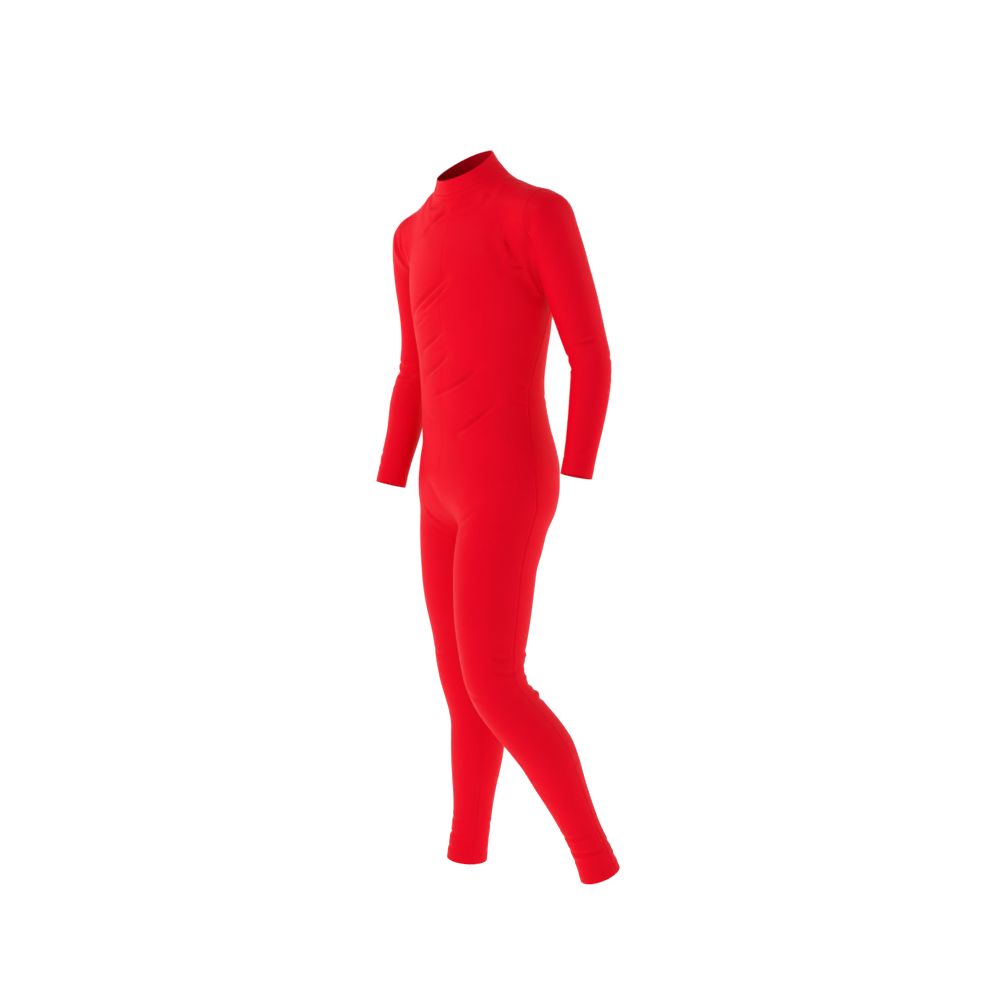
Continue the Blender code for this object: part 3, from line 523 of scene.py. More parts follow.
# A crease: three points it runs through, its depth (a ridge is negative) and its width
Crease = namedtuple("Crease", "start middle end depth width")
CREASES = [
    # Chest and ribs: drawn up to the wearer's left
    Crease((-0.091, -0.078, -0.244), (-0.036, -0.090, -0.214), (0.026, -0.091, -0.172), 0.0044, 0.0040),
    Crease((-0.041, -0.092, -0.239), (-0.006, -0.094, -0.216), (0.032, -0.091, -0.187), 0.0031, 0.0034),
    Crease((-0.078, -0.080, -0.271), (-0.052, -0.084, -0.258), (-0.022, -0.090, -0.241), 0.0014, 0.0036),
    Crease((-0.064, -0.077, -0.317), (-0.030, -0.084, -0.301), (0.007, -0.089, -0.278), 0.0038, 0.0038),
    Crease((-0.020, -0.086, -0.320), (0.008, -0.088, -0.309), (0.030, -0.090, -0.297), 0.0011, 0.0036),
    # Waist: longer towards the wearer's left
    Crease((-0.057, -0.076, -0.367), (-0.020, -0.080, -0.349), (0.019, -0.083, -0.323), 0.0038, 0.0036),
    Crease((0.001, -0.082, -0.394), (0.046, -0.077, -0.374), (0.092, -0.064, -0.344), 0.0046, 0.0040),
    Crease((-0.034, -0.080, -0.409), (-0.008, -0.082, -0.398), (0.018, -0.083, -0.384), 0.0013, 0.0038),
    Crease((0.040, -0.076, -0.469), (0.078, -0.066, -0.446), (0.119, -0.044, -0.409), 0.0048, 0.0042),
    Crease((0.034, -0.080, -0.436), (0.060, -0.075, -0.424), (0.084, -0.067, -0.408), 0.0014, 0.0036),
    Crease((-0.078, -0.062, -0.438), (-0.050, -0.074, -0.446), (-0.020, -0.082, -0.449), 0.0013, 0.0042),
    # Left armpit: a deep fold, a short one beside it, and the soft swell of the chest before them
    Crease((0.166, -0.010, -0.106), (0.160, 0.012, -0.158), (0.152, 0.056, -0.214), 0.0068, 0.0058),
    Crease((0.194, -0.010, -0.060), (0.178, -0.012, -0.086), (0.167, -0.009, -0.112), 0.0022, 0.0060),
    Crease((0.140, -0.026, -0.150), (0.149, -0.010, -0.152), (0.157, 0.010, -0.152), 0.0034, 0.0030),
    Crease((0.114, -0.034, -0.076), (0.134, -0.026, -0.124), (0.150, -0.004, -0.168), -0.0034, 0.0120),
    Crease((0.148, 0.010, -0.186), (0.150, 0.030, -0.196), (0.146, 0.052, -0.196), 0.0017, 0.0040),
    Crease((0.110, -0.062, -0.168), (0.132, -0.048, -0.142), (0.150, -0.032, -0.100), 0.0010, 0.0050),
    # Right armpit
    Crease((-0.176, -0.050, -0.082), (-0.162, -0.046, -0.132), (-0.150, -0.022, -0.196), 0.0028, 0.0055),
    Crease((-0.150, -0.052, -0.096), (-0.146, -0.052, -0.132), (-0.138, -0.046, -0.168), 0.0014, 0.0046),
    Crease((-0.152, -0.030, -0.176), (-0.155, -0.008, -0.184), (-0.152, 0.014, -0.182), 0.0018, 0.0038),
    # Back of both armpits
    Crease((0.176, 0.096, -0.078), (0.164, 0.090, -0.128), (0.152, 0.066, -0.190), 0.0028, 0.0056),
    Crease((0.150, 0.104, -0.090), (0.142, 0.104, -0.130), (0.136, 0.096, -0.172), 0.0015, 0.0050),
    Crease((-0.176, 0.066, -0.100), (-0.166, 0.066, -0.146), (-0.154, 0.046, -0.204), 0.0027, 0.0054),
    Crease((-0.150, 0.086, -0.100), (-0.144, 0.092, -0.142), (-0.138, 0.092, -0.178), 0.0014, 0.0048),
    # Throat, under the collar's seam
    Crease((-0.036, -0.071, -0.071), (-0.012, -0.070, -0.056), (0.011, -0.068, -0.043), 0.0044, 0.0036),
    Crease((-0.056, -0.062, -0.044), (-0.017, -0.068, -0.039), (0.016, -0.067, -0.031), 0.0036, 0.0034),
    Crease((-0.002, -0.068, -0.034), (0.029, -0.063, -0.029), (0.058, -0.050, -0.021), 0.0036, 0.0034),
    Crease((-0.010, -0.069, -0.056), (0.029, -0.064, -0.047), (0.060, -0.050, -0.034), 0.0024, 0.0036),
    Crease((-0.068, -0.072, -0.101), (-0.052, -0.074, -0.088), (-0.036, -0.074, -0.078), 0.0022, 0.0034),
    Crease((0.052, -0.030, -0.012), (0.074, -0.020, -0.022), (0.096, -0.012, -0.032), 0.0010, 0.0040),
    # Back: across the blades, the waist and above the seat
    Crease((-0.098, 0.116, -0.214), (-0.060, 0.122, -0.236), (-0.018, 0.122, -0.246), 0.0014, 0.0052),
    Crease((0.092, 0.118, -0.222), (0.062, 0.122, -0.240), (0.022, 0.122, -0.252), 0.0013, 0.0048),
    Crease((-0.104, 0.096, -0.338), (-0.062, 0.110, -0.362), (-0.014, 0.114, -0.374), 0.0024, 0.0048),
    Crease((-0.082, 0.104, -0.376), (-0.052, 0.112, -0.392), (-0.012, 0.116, -0.402), 0.0018, 0.0042),
    Crease((-0.096, 0.100, -0.420), (-0.070, 0.112, -0.428), (-0.040, 0.118, -0.430), 0.0013, 0.0040),
    Crease((0.108, 0.092, -0.326), (0.066, 0.108, -0.352), (0.014, 0.112, -0.366), 0.0022, 0.0050),
    Crease((0.094, 0.100, -0.366), (0.058, 0.112, -0.388), (0.020, 0.116, -0.396), 0.0017, 0.0042),
    Crease((0.126, 0.062, -0.392), (0.112, 0.088, -0.408), (0.088, 0.106, -0.414), 0.0014, 0.0044),
    # Sides of the waist
    Crease((0.136, -0.012, -0.368), (0.142, 0.016, -0.382), (0.136, 0.046, -0.386), 0.0017, 0.0046),
    Crease((0.134, -0.020, -0.402), (0.142, 0.004, -0.412), (0.140, 0.030, -0.414), 0.0013, 0.0042),
    Crease((-0.126, -0.016, -0.352), (-0.134, 0.014, -0.366), (-0.130, 0.048, -0.368), 0.0017, 0.0046),
    Crease((-0.128, -0.008, -0.404), (-0.138, 0.020, -0.412), (-0.136, 0.042, -0.408), 0.0013, 0.0042),
    # Groin and the tops of the thighs
    Crease((-0.112, -0.044, -0.630), (-0.078, -0.034, -0.656), (-0.046, -0.020, -0.671), 0.0024, 0.0050),
    Crease((-0.096, -0.040, -0.668), (-0.076, -0.032, -0.680), (-0.054, -0.020, -0.688), 0.0013, 0.0042),
    Crease((0.104, -0.086, -0.612), (0.064, -0.082, -0.640), (0.026, -0.060, -0.664), 0.0022, 0.0052),
    Crease((0.090, -0.096, -0.652), (0.062, -0.090, -0.668), (0.034, -0.068, -0.684), 0.0013, 0.0044),
    # Under the seat
    Crease((-0.030, 0.134, -0.652), (-0.086, 0.148, -0.666), (-0.146, 0.130, -0.660), 0.0025, 0.0056),
    Crease((-0.050, 0.138, -0.684), (-0.084, 0.144, -0.692), (-0.116, 0.138, -0.688), 0.0014, 0.0046),
    Crease((0.036, 0.108, -0.664), (0.084, 0.102, -0.686), (0.138, 0.070, -0.682), 0.0025, 0.0056),
    Crease((0.052, 0.090, -0.702), (0.084, 0.084, -0.712), (0.112, 0.076, -0.708), 0.0013, 0.0044),
    # Left knee: its outer side, its front and behind it
    Crease((0.138, -0.080, -0.885), (0.153, -0.062, -0.898), (0.160, -0.036, -0.896), 0.0019, 0.0044),
    Crease((0.142, -0.076, -0.920), (0.159, -0.046, -0.928), (0.162, -0.016, -0.920), 0.0020, 0.0042),
    Crease((0.066, -0.086, -0.968), (0.104, -0.098, -0.982), (0.142, -0.080, -0.976), 0.0014, 0.0046),
    Crease((0.070, 0.018, -0.918), (0.112, 0.030, -0.925), (0.162, 0.004, -0.920), 0.0030, 0.0046),
    Crease((0.066, 0.024, -0.954), (0.114, 0.038, -0.961), (0.166, 0.008, -0.957), 0.0034, 0.0046),
    Crease((0.080, 0.034, -0.898), (0.126, 0.030, -0.905), (0.162, -0.004, -0.900), -0.0030, 0.0048),
    Crease((0.080, 0.040, -0.936), (0.128, 0.034, -0.943), (0.166, 0.000, -0.938), -0.0034, 0.0052),
    Crease((0.088, 0.050, -0.974), (0.134, 0.046, -0.981), (0.172, 0.014, -0.975), -0.0036, 0.0054),
    Crease((0.078, 0.040, -0.996), (0.122, 0.048, -1.002), (0.168, 0.020, -0.990), 0.0025, 0.0046),
    Crease((0.060, -0.010, -0.944), (0.056, -0.032, -0.936), (0.062, -0.056, -0.930), 0.0016, 0.0040),
    # Right knee, nearly straight
    Crease((-0.150, 0.112, -0.948), (-0.110, 0.126, -0.958), (-0.070, 0.112, -0.950), 0.0020, 0.0046),
    Crease((-0.146, 0.116, -0.984), (-0.106, 0.128, -0.990), (-0.066, 0.110, -0.986), 0.0025, 0.0048),
    Crease((-0.138, 0.122, -1.018), (-0.106, 0.134, -1.024), (-0.074, 0.122, -1.022), 0.0014, 0.0042),
    Crease((-0.146, 0.026, -0.936), (-0.126, 0.008, -0.944), (-0.098, 0.006, -0.940), 0.0014, 0.0046),
    # Left ankle
    Crease((0.166, 0.126, -1.262), (0.196, 0.084, -1.272), (0.230, 0.118, -1.258), 0.0018, 0.0040),
    Crease((0.174, 0.110, -1.296), (0.210, 0.100, -1.304), (0.238, 0.136, -1.292), 0.0024, 0.0042),
    Crease((0.170, 0.150, -1.318), (0.176, 0.124, -1.324), (0.206, 0.108, -1.322), 0.0015, 0.0036),
    Crease((0.172, 0.160, -1.280), (0.196, 0.174, -1.290), (0.228, 0.158, -1.284), 0.0023, 0.0042),
    Crease((0.186, 0.180, -1.312), (0.212, 0.184, -1.318), (0.240, 0.160, -1.310), 0.0015, 0.0038),
    # Right ankle
    Crease((-0.154, 0.074, -1.296), (-0.132, 0.050, -1.306), (-0.098, 0.058, -1.298), 0.0021, 0.0040),
    Crease((-0.160, 0.090, -1.330), (-0.140, 0.052, -1.338), (-0.104, 0.056, -1.332), 0.0024, 0.0042),
    Crease((-0.158, 0.070, -1.364), (-0.138, 0.046, -1.366), (-0.112, 0.050, -1.360), 0.0014, 0.0036),
    Crease((-0.146, 0.116, -1.312), (-0.116, 0.128, -1.322), (-0.086, 0.106, -1.314), 0.0021, 0.0042),
    Crease((-0.150, 0.114, -1.350), (-0.122, 0.126, -1.356), (-0.096, 0.112, -1.348), 0.0015, 0.0038),
    # Left elbow and wrist
    Crease((0.237, 0.047, -0.298), (0.252, 0.056, -0.291), (0.264, 0.076, -0.284), 0.0035, 0.0036),
    Crease((0.198, 0.098, -0.318), (0.200, 0.076, -0.322), (0.218, 0.060, -0.314), 0.0024, 0.0040),
    Crease((0.196, 0.094, -0.342), (0.204, 0.068, -0.344), (0.224, 0.060, -0.337), 0.0018, 0.0040),
    Crease((0.206, 0.064, -0.384), (0.230, 0.054, -0.388), (0.252, 0.064, -0.380), 0.0014, 0.0036),
    Crease((0.262, 0.104, -0.318), (0.246, 0.128, -0.324), (0.222, 0.134, -0.322), 0.0015, 0.0040),
    Crease((0.258, 0.118, -0.356), (0.234, 0.134, -0.362), (0.208, 0.122, -0.360), 0.0014, 0.0042),
    Crease((0.262, 0.068, -0.486), (0.248, 0.044, -0.492), (0.222, 0.042, -0.488), 0.0015, 0.0034),
    Crease((0.208, 0.056, -0.506), (0.228, 0.034, -0.512), (0.252, 0.042, -0.508), 0.0012, 0.0034),
    # Right elbow and wrist
    Crease((-0.262, 0.034, -0.350), (-0.232, 0.000, -0.360), (-0.196, 0.018, -0.352), 0.0024, 0.0042),
    Crease((-0.262, 0.026, -0.374), (-0.228, -0.002, -0.382), (-0.196, 0.012, -0.378), 0.0027, 0.0042),
    Crease((-0.254, 0.006, -0.402), (-0.228, -0.010, -0.404), (-0.204, 0.000, -0.400), 0.0014, 0.0036),
    Crease((-0.254, 0.066, -0.354), (-0.228, 0.076, -0.360), (-0.202, 0.066, -0.354), 0.0015, 0.0042),
    Crease((-0.240, -0.036, -0.532), (-0.222, -0.056, -0.538), (-0.196, -0.056, -0.534), 0.0015, 0.0034),
    Crease((-0.236, -0.050, -0.556), (-0.212, -0.064, -0.560), (-0.190, -0.054, -0.556), 0.0011, 0.0034),
]


def fine_positions(*stretches):
    """Positions along an edge of stretches (steps, lines), with the seams' lines at both ends."""
    near = np.array(SEAM_LINES)
    even = [0.0]
    for steps, lines in stretches:
        even += list(even[-1] + np.arange(1, steps * lines + 1) / lines)
    end = even[-1]
    return np.concatenate([[0.0], near, even[1:-1], end - near[::-1], [end]])


def read(values, at, before=None, after=None, closed=False):
    """A smooth curve through the rows of an array, read at fractional rows.

    Each stretch is the cubic that leaves a row along the line between its two neighbours. The row
    before the first one and the one after the last are given or lie straight ahead.
    """
    if closed:
        values = np.concatenate([values[-1:], values, values[:2]])
    else:
        before = 2 * values[0] - values[1] if before is None else before
        after = 2 * values[-1] - values[-2] if after is None else after
        values = np.concatenate([before[None], values, after[None]])
    i = np.clip(np.floor(at).astype(int), 0, len(values) - 4)
    w = (at - i).reshape(-1, *[1] * (values.ndim - 1))
    p, q, r, s = (values[i + k] for k in range(4))
    return q + w / 2 * (r - p + w * (2 * p - 5 * q + 4 * r - s + w * (3 * (q - r) + s - p)))


def across(values):
    """The same array with its rows and columns exchanged."""
    return np.swapaxes(values, 0, 1)


def faced(points):
    """Points on the form, each with the form's normal behind its coordinates."""
    return np.concatenate([points, outward(points)], axis=-1)


def fade(steps):
    """One at an edge, falling smoothly to none a grid step away."""
    near = np.clip(1 - steps, 0, 1)
    return near * near * (3 - 2 * near)


def neck_base():
    """Points of the neckline's seam from right of the centre back, round the front, to its left."""
    return np.concatenate(
        [neckline(-1, -1), neckline(-1, 1)[-2::-1], neckline(1, 1)[1:], neckline(1, -1)[-2::-1]]
    )


def armhole_ring(side):
    """Points of a whole armhole from the shoulder's tip down the front and up the back."""
    return np.concatenate([armhole(side, 1), armhole(side, -1)[-2:0:-1]])


PANEL = {(side, way): faced(body_panel(side, way)) for side in (1, -1) for way in (1, -1)}
NECK_BASE = faced(neck_base())
ARMHOLE_RING = {side: faced(armhole_ring(side)) for side in (1, -1)}
PANEL_ROWS = fine_positions(*[stretch[1:] for stretch in STRETCHES])
PANEL_COLUMNS = fine_positions((NECK_STEPS + SHOULDER_STEPS, COLUMN_LINES))
CROTCH_ROW = ARMHOLE_STEPS + SIDE_STEPS


def panel_surface(side, way):
    """One front or back piece, finely drawn; its seams are the very curves of its neighbours'."""
    grid = PANEL[side, way]
    rows, columns = PANEL_ROWS, PANEL_COLUMNS
    beyond_centre = np.concatenate(
        [PANEL[-side, way][: CROTCH_ROW + 1, 1], PANEL[side, -way][CROTCH_ROW + 1 :, 1]]
    )
    ahead = 2 * grid[: ARMHOLE_STEPS + 1, -1] - grid[: ARMHOLE_STEPS + 1, -2]
    beyond_side = np.concatenate([ahead, PANEL[side, -way][ARMHOLE_STEPS + 1 :, -2]])
    down = [read(values, rows) for values in (grid, beyond_centre, beyond_side)]
    fine = across(read(across(down[0]), columns, down[1], down[2]))

    on_ring = {(1, 1): 2, (-1, 1): 2, (1, -1): 4, (-1, -1): 0}[side, way] * NECK_STEPS
    over_neck = columns[columns <= NECK_STEPS]
    over_shoulder = columns[columns > NECK_STEPS] - NECK_STEPS
    neck = read(NECK_BASE, on_ring + side * way * over_neck)
    top = np.concatenate([neck, read(faced(shoulder_seam(side)), over_shoulder)])

    by_arm = rows[rows <= ARMHOLE_STEPS]
    ring = read(ARMHOLE_RING[side], (way * by_arm) % (2 * ARMHOLE_STEPS), closed=True)
    outer = np.concatenate([ring, read(grid[ARMHOLE_STEPS:, -1], rows[len(by_arm) :] - ARMHOLE_STEPS)])

    above = rows[rows <= CROTCH_ROW]
    centre = read(grid[: CROTCH_ROW + 1, 0], above)
    centre = np.concatenate([centre, read(grid[CROTCH_ROW:, 0], rows[len(above) :] - CROTCH_ROW)])
    centre[0] = top[0]

    fine = fine + fade(rows)[:, None, None] * (top - fine[0])[None]
    fine = fine + fade(columns)[None, :, None] * (centre - fine[:, 0])[:, None]
    fine = fine + fade(columns[-1] - columns)[None, :, None] * (outer - fine[:, -1])[:, None]
    return fine


LINE_HALF = 6  # steps from a crease's end to its middle


def settled_line(points):
    """A smooth line through three points, laid on the form, with one normal for all of it."""
    share = np.linspace(0, 1, 2 * LINE_HALF + 1)[:, None]
    start, middle, end = (np.array(p) for p in points)
    bend = 2 * middle - (start + end) / 2
    line = settle((1 - share) ** 2 * start + 2 * share * (1 - share) * bend + share**2 * end)
    return line, outward(line[LINE_HALF : LINE_HALF + 1])[0]


CREASE_LINES = [settled_line(crease[:3]) for crease in CREASES]

# The low ridges beside a crease, in shares of its depth and of its width, the higher one first
Ridge = namedtuple("Ridge", "height middle width")
RIDGES = [Ridge(0.42, 1.8, 1.15), Ridge(0.16, -1.9, 1.2)]
SWELL_POWER = 0.7  # how bluntly a crease ends
FACING_MARGIN = 0.4  # a crease dies out on walls that turn away from it


def creased(points, normals):
    """How far the creases sink or raise each point.

    Across its line a crease is a bell-shaped trough with a low ridge beside it, higher on one side;
    along its line it swells in and dies out. A crease leaves a wall that faces away from it alone.
    """
    lift = np.zeros(points.shape[:-1])
    for fold in FOLDS:
        start, end = np.array(fold.start), np.array(fold.end)
        run = end - start
        share = np.clip(np.sum((points - start) * run, axis=-1) / (run @ run), 0, 1)
        away = np.linalg.norm(points - start - share[..., None] * run, axis=-1)
        lift += fold.depth * np.exp(-((away / fold.width) ** 2))
    for crease, (line, facing) in zip(CREASES, CREASE_LINES):
        middle = line.mean(axis=0)
        reach = np.linalg.norm(line - middle, axis=1).max() + 5 * crease.width
        near = np.linalg.norm(points - middle, axis=-1) < reach
        if not near.any():
            continue
        start, run = line[:-1], np.diff(line, axis=0)
        offset = points[near][:, None] - start
        share = np.clip(np.sum(offset * run, axis=2) / np.sum(run * run, axis=1), 0, 1)
        offset = offset - share[..., None] * run
        away = np.linalg.norm(offset, axis=2)
        nearest = np.argmin(away, axis=1)
        pick = np.arange(len(nearest))
        along = (nearest + share[pick, nearest]) / len(run)
        hand = np.sign(np.sum(np.cross(run[nearest], normals[near]) * offset[pick, nearest], axis=1))
        off = hand * away[pick, nearest] / crease.width
        profile = -np.exp(-(off**2))
        for ridge in RIDGES:
            profile += ridge.height * np.exp(-(((off - ridge.middle) / ridge.width) ** 2))
        swell = np.sin(np.pi * along) ** SWELL_POWER
        swell *= np.clip(normals[near] @ facing + FACING_MARGIN, 0, 1)
        lift[near] += crease.depth * swell * profile
    return lift


def run_lengths(points):
    """Distances along the cloth from the first row and from the first column of a surface."""
    down = np.linalg.norm(np.diff(points, axis=0), axis=-1)
    over = np.linalg.norm(np.diff(points, axis=1), axis=-1)
    down = np.concatenate([np.zeros((1, points.shape[1])), np.cumsum(down, axis=0)])
    over = np.concatenate([np.zeros((points.shape[0], 1)), np.cumsum(over, axis=1)], axis=1)
    return down, over


# A seam's valley, and the low swell over the turnings behind it: widths and its rise as a share
SEAM_DEPTH = {"seam": 0.0007, "underarm": 0.0005, "centre_front": 0.0002, "centre": 0.0006}
SEAM = {"valley": 0.0013, "turning": 0.0045, "turning_width": 0.003, "turning_rise": 0.4}


def seam_dip(distance, depth):
    """A sewn seam: a narrow valley, then a low swell where the turnings lie behind."""
    valley = np.exp(-((distance / SEAM["valley"]) ** 2))
    swell = np.exp(-(((distance - SEAM["turning"]) / SEAM["turning_width"]) ** 2))
    return depth * (SEAM["turning_rise"] * swell - valley)


# A turned hem: its rise, and where its two rows of stitches pull it in
NEEDLE_ROWS = (0.0155, 0.0190)
HEM = {"rise": 0.0004, "slope": 0.003, "pull": 0.0003, "pull_width": 0.0009}
PUCKER = {"height": 0.00011, "middle": 0.017, "width": 0.006}
PUCKER_WAVES = [(1.0, 620, 0.0), (0.6, 1130, 1.3), (0.5, 390, 0.4)]  # share, waves and start


def hem_lift(from_edge, round_it):
    """A turned hem: a double thickness that ends at two rows of stitches, slightly puckered."""
    inside = np.clip((HEM_DEEP - from_edge) / HEM["slope"], 0, 1)
    pucker = sum(share * np.sin(round_it * waves + start) for share, waves, start in PUCKER_WAVES)
    near = np.exp(-(((from_edge - PUCKER["middle"]) / PUCKER["width"]) ** 2))
    rows = sum(np.exp(-(((from_edge - row) / HEM["pull_width"]) ** 2)) for row in NEEDLE_ROWS)
    return HEM["rise"] * inside - HEM["pull"] * rows + PUCKER["height"] * pucker * near


class Signal:
    """One value in a material's node tree; arithmetic on it adds maths nodes."""

    def __init__(self, tree, socket):
        self.tree = tree
        self.socket = socket

    def node(self, kind, settings, sockets, output=0):
        """Any other node: its type, its settings, then what goes into its sockets."""
        made = self.tree.nodes.new(kind)
        for name, value in settings.items():
            setattr(made, name, value)
        for name, value in sockets.items():
            if isinstance(value, Signal):
                self.tree.links.new(value.socket, made.inputs[name])
            else:
                made.inputs[name].default_value = value
        return Signal(self.tree, made.outputs[output])

    def maths(self, operation, *values):
        return self.node("ShaderNodeMath", {"operation": operation}, dict(enumerate(values)))

    def __add__(self, other):
        return self.maths("ADD", self, other)

    def __radd__(self, other):
        return self.maths("ADD", other, self)

    def __sub__(self, other):
        return self.maths("SUBTRACT", self, other)

    def __rsub__(self, other):
        return self.maths("SUBTRACT", other, self)

    def __mul__(self, other):
        return self.maths("MULTIPLY", self, other)

    def __rmul__(self, other):
        return self.maths("MULTIPLY", other, self)

    def __truediv__(self, other):
        return self.maths("DIVIDE", self, other)

    def __rtruediv__(self, other):
        return self.maths("DIVIDE", other, self)


Blank = namedtuple("Blank", "material shader place cloth")


def new_material(name, settings):
    """A material whose shader has the given constants, and two signals: in space and on the cloth."""
    material = bpy.data.materials.new(name)
    material.use_nodes = True
    tree = material.node_tree
    shader = tree.nodes["Principled BSDF"]
    for socket, value in settings.items():
        shader.inputs[socket].default_value = value
    place = tree.nodes.new("ShaderNodeTexCoord")
    in_space, on_cloth = (Signal(tree, place.outputs[kind]) for kind in ("Object", "UV"))
    return Blank(material, shader, in_space, on_cloth)


def feed(made, **signals):
    """Lead signals into a material's shader: an underscore in a name stands for a space."""
    for socket, signal in signals.items():
        made.material.node_tree.links.new(signal.socket, made.shader.inputs[socket.replace("_", " ")])
    return made.material


def mixed(share, first, second):
    """A colour between two colours."""
    return share.node(
        "ShaderNodeMix", {"data_type": "RGBA"}, {0: share, 6: (*first, 1), 7: (*second, 1)}, output=2
    )


TURN = 6.2832  # one whole wave
WALE = 0.00085  # from one upright row of loops to the next
COURSE = 0.0006  # from one loop to the next along a row


def wave(phase):
    """The sine of a signal."""
    return phase.maths("SINE", phase)


def tricot():
    """Warp-knitted nylon and elastane: fine upright wales with short courses across, softly shiny."""
    made = new_material(
        "tricot",
        {
            "Specular IOR Level": 0.03,
            "Sheen Weight": 0.03,
            "Sheen Roughness": 0.35,
            "Sheen Tint": (1.0, 0.12, 0.14, 1),
        },
    )
    wide = made.cloth.node("ShaderNodeSeparateXYZ", {}, {0: made.cloth})
    long = Signal(wide.tree, wide.socket.node.outputs[1])
    wale = wave(wide * (TURN / WALE))
    crossing = wide * (1 / WALE)
    lean = crossing.maths("PINGPONG", crossing, 0.5)
    course = wave((long * (1 / COURSE) + lean) * TURN)
    height = wale * 0.6 + course * 0.4
    bump = height.node(
        "ShaderNodeBump", {}, {"Strength": 0.22, "Distance": 0.0002, "Height": height}
    )
    patches = {"Vector": made.place, "Scale": 14.0, "Detail": 3.0, "Roughness": 0.55}
    uneven = made.place.node("ShaderNodeTexNoise", {}, patches)
    colour = mixed(uneven, (0.70, 0.000, 0.012), (0.80, 0.000, 0.016))
    return feed(made, Base_Color=colour, Roughness=uneven * 0.10 + 0.44, Normal=bump)


TRICOT = tricot()


def shown(name, mesh, material):
    """An object in the scene from a mesh, smoothly shaded."""
    mesh.shade_smooth()
    mesh.materials.append(material)
    piece = bpy.data.objects.new(name, mesh)
    bpy.context.scene.collection.objects.link(piece)
    return piece


def drawn(name, points, material, lengths, out, closed=False):
    """A surface as a mesh object: a grid of points joined by four-sided faces that look outwards."""
    rows, columns = points.shape[:2]
    index = np.arange(rows * columns).reshape(rows, columns)
    down, over = lengths
    if closed:
        index = np.concatenate([index, index[:, :1]], axis=1)
        down = np.concatenate([down, down[:, :1]], axis=1)
        last = np.linalg.norm(points[:, 0] - points[:, -1], axis=-1)[:, None]
        over = np.concatenate([over, over[:, -1:] + last], axis=1)
    corners = [index[:-1, :-1], index[1:, :-1], index[1:, 1:], index[:-1, 1:]]
    faces = np.stack(corners, axis=-1).reshape(-1, 4)
    spots = [(slice(0, -1), slice(0, -1)), (slice(1, None), slice(0, -1))]
    spots += [(slice(1, None), slice(1, None)), (slice(0, -1), slice(1, None))]
    on_cloth = [np.stack([over[spot], down[spot]], axis=-1) for spot in spots]
    on_cloth = np.stack(on_cloth, axis=-2).reshape(-1, 4, 2)
    flat = points.reshape(-1, 3)
    a, b, d = flat[faces[:, 0]], flat[faces[:, 1]], flat[faces[:, 3]]
    if np.sum(np.cross(b - a, d - a) * out.reshape(-1, 3)[faces[:, 0]]) < 0:
        faces = faces[:, ::-1]
        on_cloth = on_cloth[:, ::-1]
    mesh = bpy.data.meshes.new(name)
    mesh.from_pydata(flat.tolist(), [], faces.tolist())
    mesh.uv_layers.new(name="cloth").data.foreach_set("uv", on_cloth.reshape(-1).tolist())
    piece = shown(name, mesh, material)
    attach(piece, "garment")
    return piece


def sew(name, surface, lift, closed=False):
    """A piece of cloth: its surface with its creases and seams, as a thin shell."""
    normals = unit(surface[..., 3:])
    base = surface[..., :3]
    points = base + (CLOTH + lift + creased(base, normals))[..., None] * normals
    piece = drawn(name, points, TRICOT, run_lengths(base), normals, closed)
    shell = piece.modifiers.new("thickness", "SOLIDIFY")
    shell.thickness = KNIT
    shell.offset = -1.0
    return piece, points, normals


# Widest and longest of each flat cut piece and its area: a fifth less than it covers when worn
PANEL_CUT = {
    (1, 1): (0.250, 1.290, 0.236),
    (1, -1): (0.250, 1.290, 0.228),
    (-1, 1): (0.250, 1.320, 0.228),
    (-1, -1): (0.250, 1.320, 0.226),
}
BODY = {}
for (side, way), cut in PANEL_CUT.items():
    hand = "left" if side > 0 else "right"
    node = ("front_" if way > 0 else "back_") + hand
    surface = panel_surface(side, way)
    down, over = run_lengths(surface[..., :3])
    rows = PANEL_ROWS[:, None]
    from_outer = over[:, -1:] - over
    from_hem = down[-1:] - down
    zipped = (way < 0) & (rows <= ZIP_ROW + 1)
    fine = (way > 0) & (rows <= CROTCH_ROW)
    centre_depth = np.where(fine, SEAM_DEPTH["centre_front"], SEAM_DEPTH["centre"])
    lift = seam_dip(over, np.where(zipped, 0.0, centre_depth)) + hem_lift(from_hem, over)
    lift = lift + seam_dip(from_outer, SEAM_DEPTH["seam"]) + seam_dip(down, SEAM_DEPTH["seam"])
    BODY[side, way] = sew("cloth_" + node, surface, lift)
    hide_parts(node)


# THE SLEEVES
# Each sleeve is one piece of the same tricot, closed by a seam under the arm and set into its
# armhole. It keeps the slight bend of a hanging arm, with creases inside the elbow.

SLEEVE_HEAD_SWING = 0.110  # how strongly the rings' middles swing out of the armhole and into the arm
SLEEVE_HEAD_DROP = 0.010  # below the arm's fourth section the rings follow the arm itself


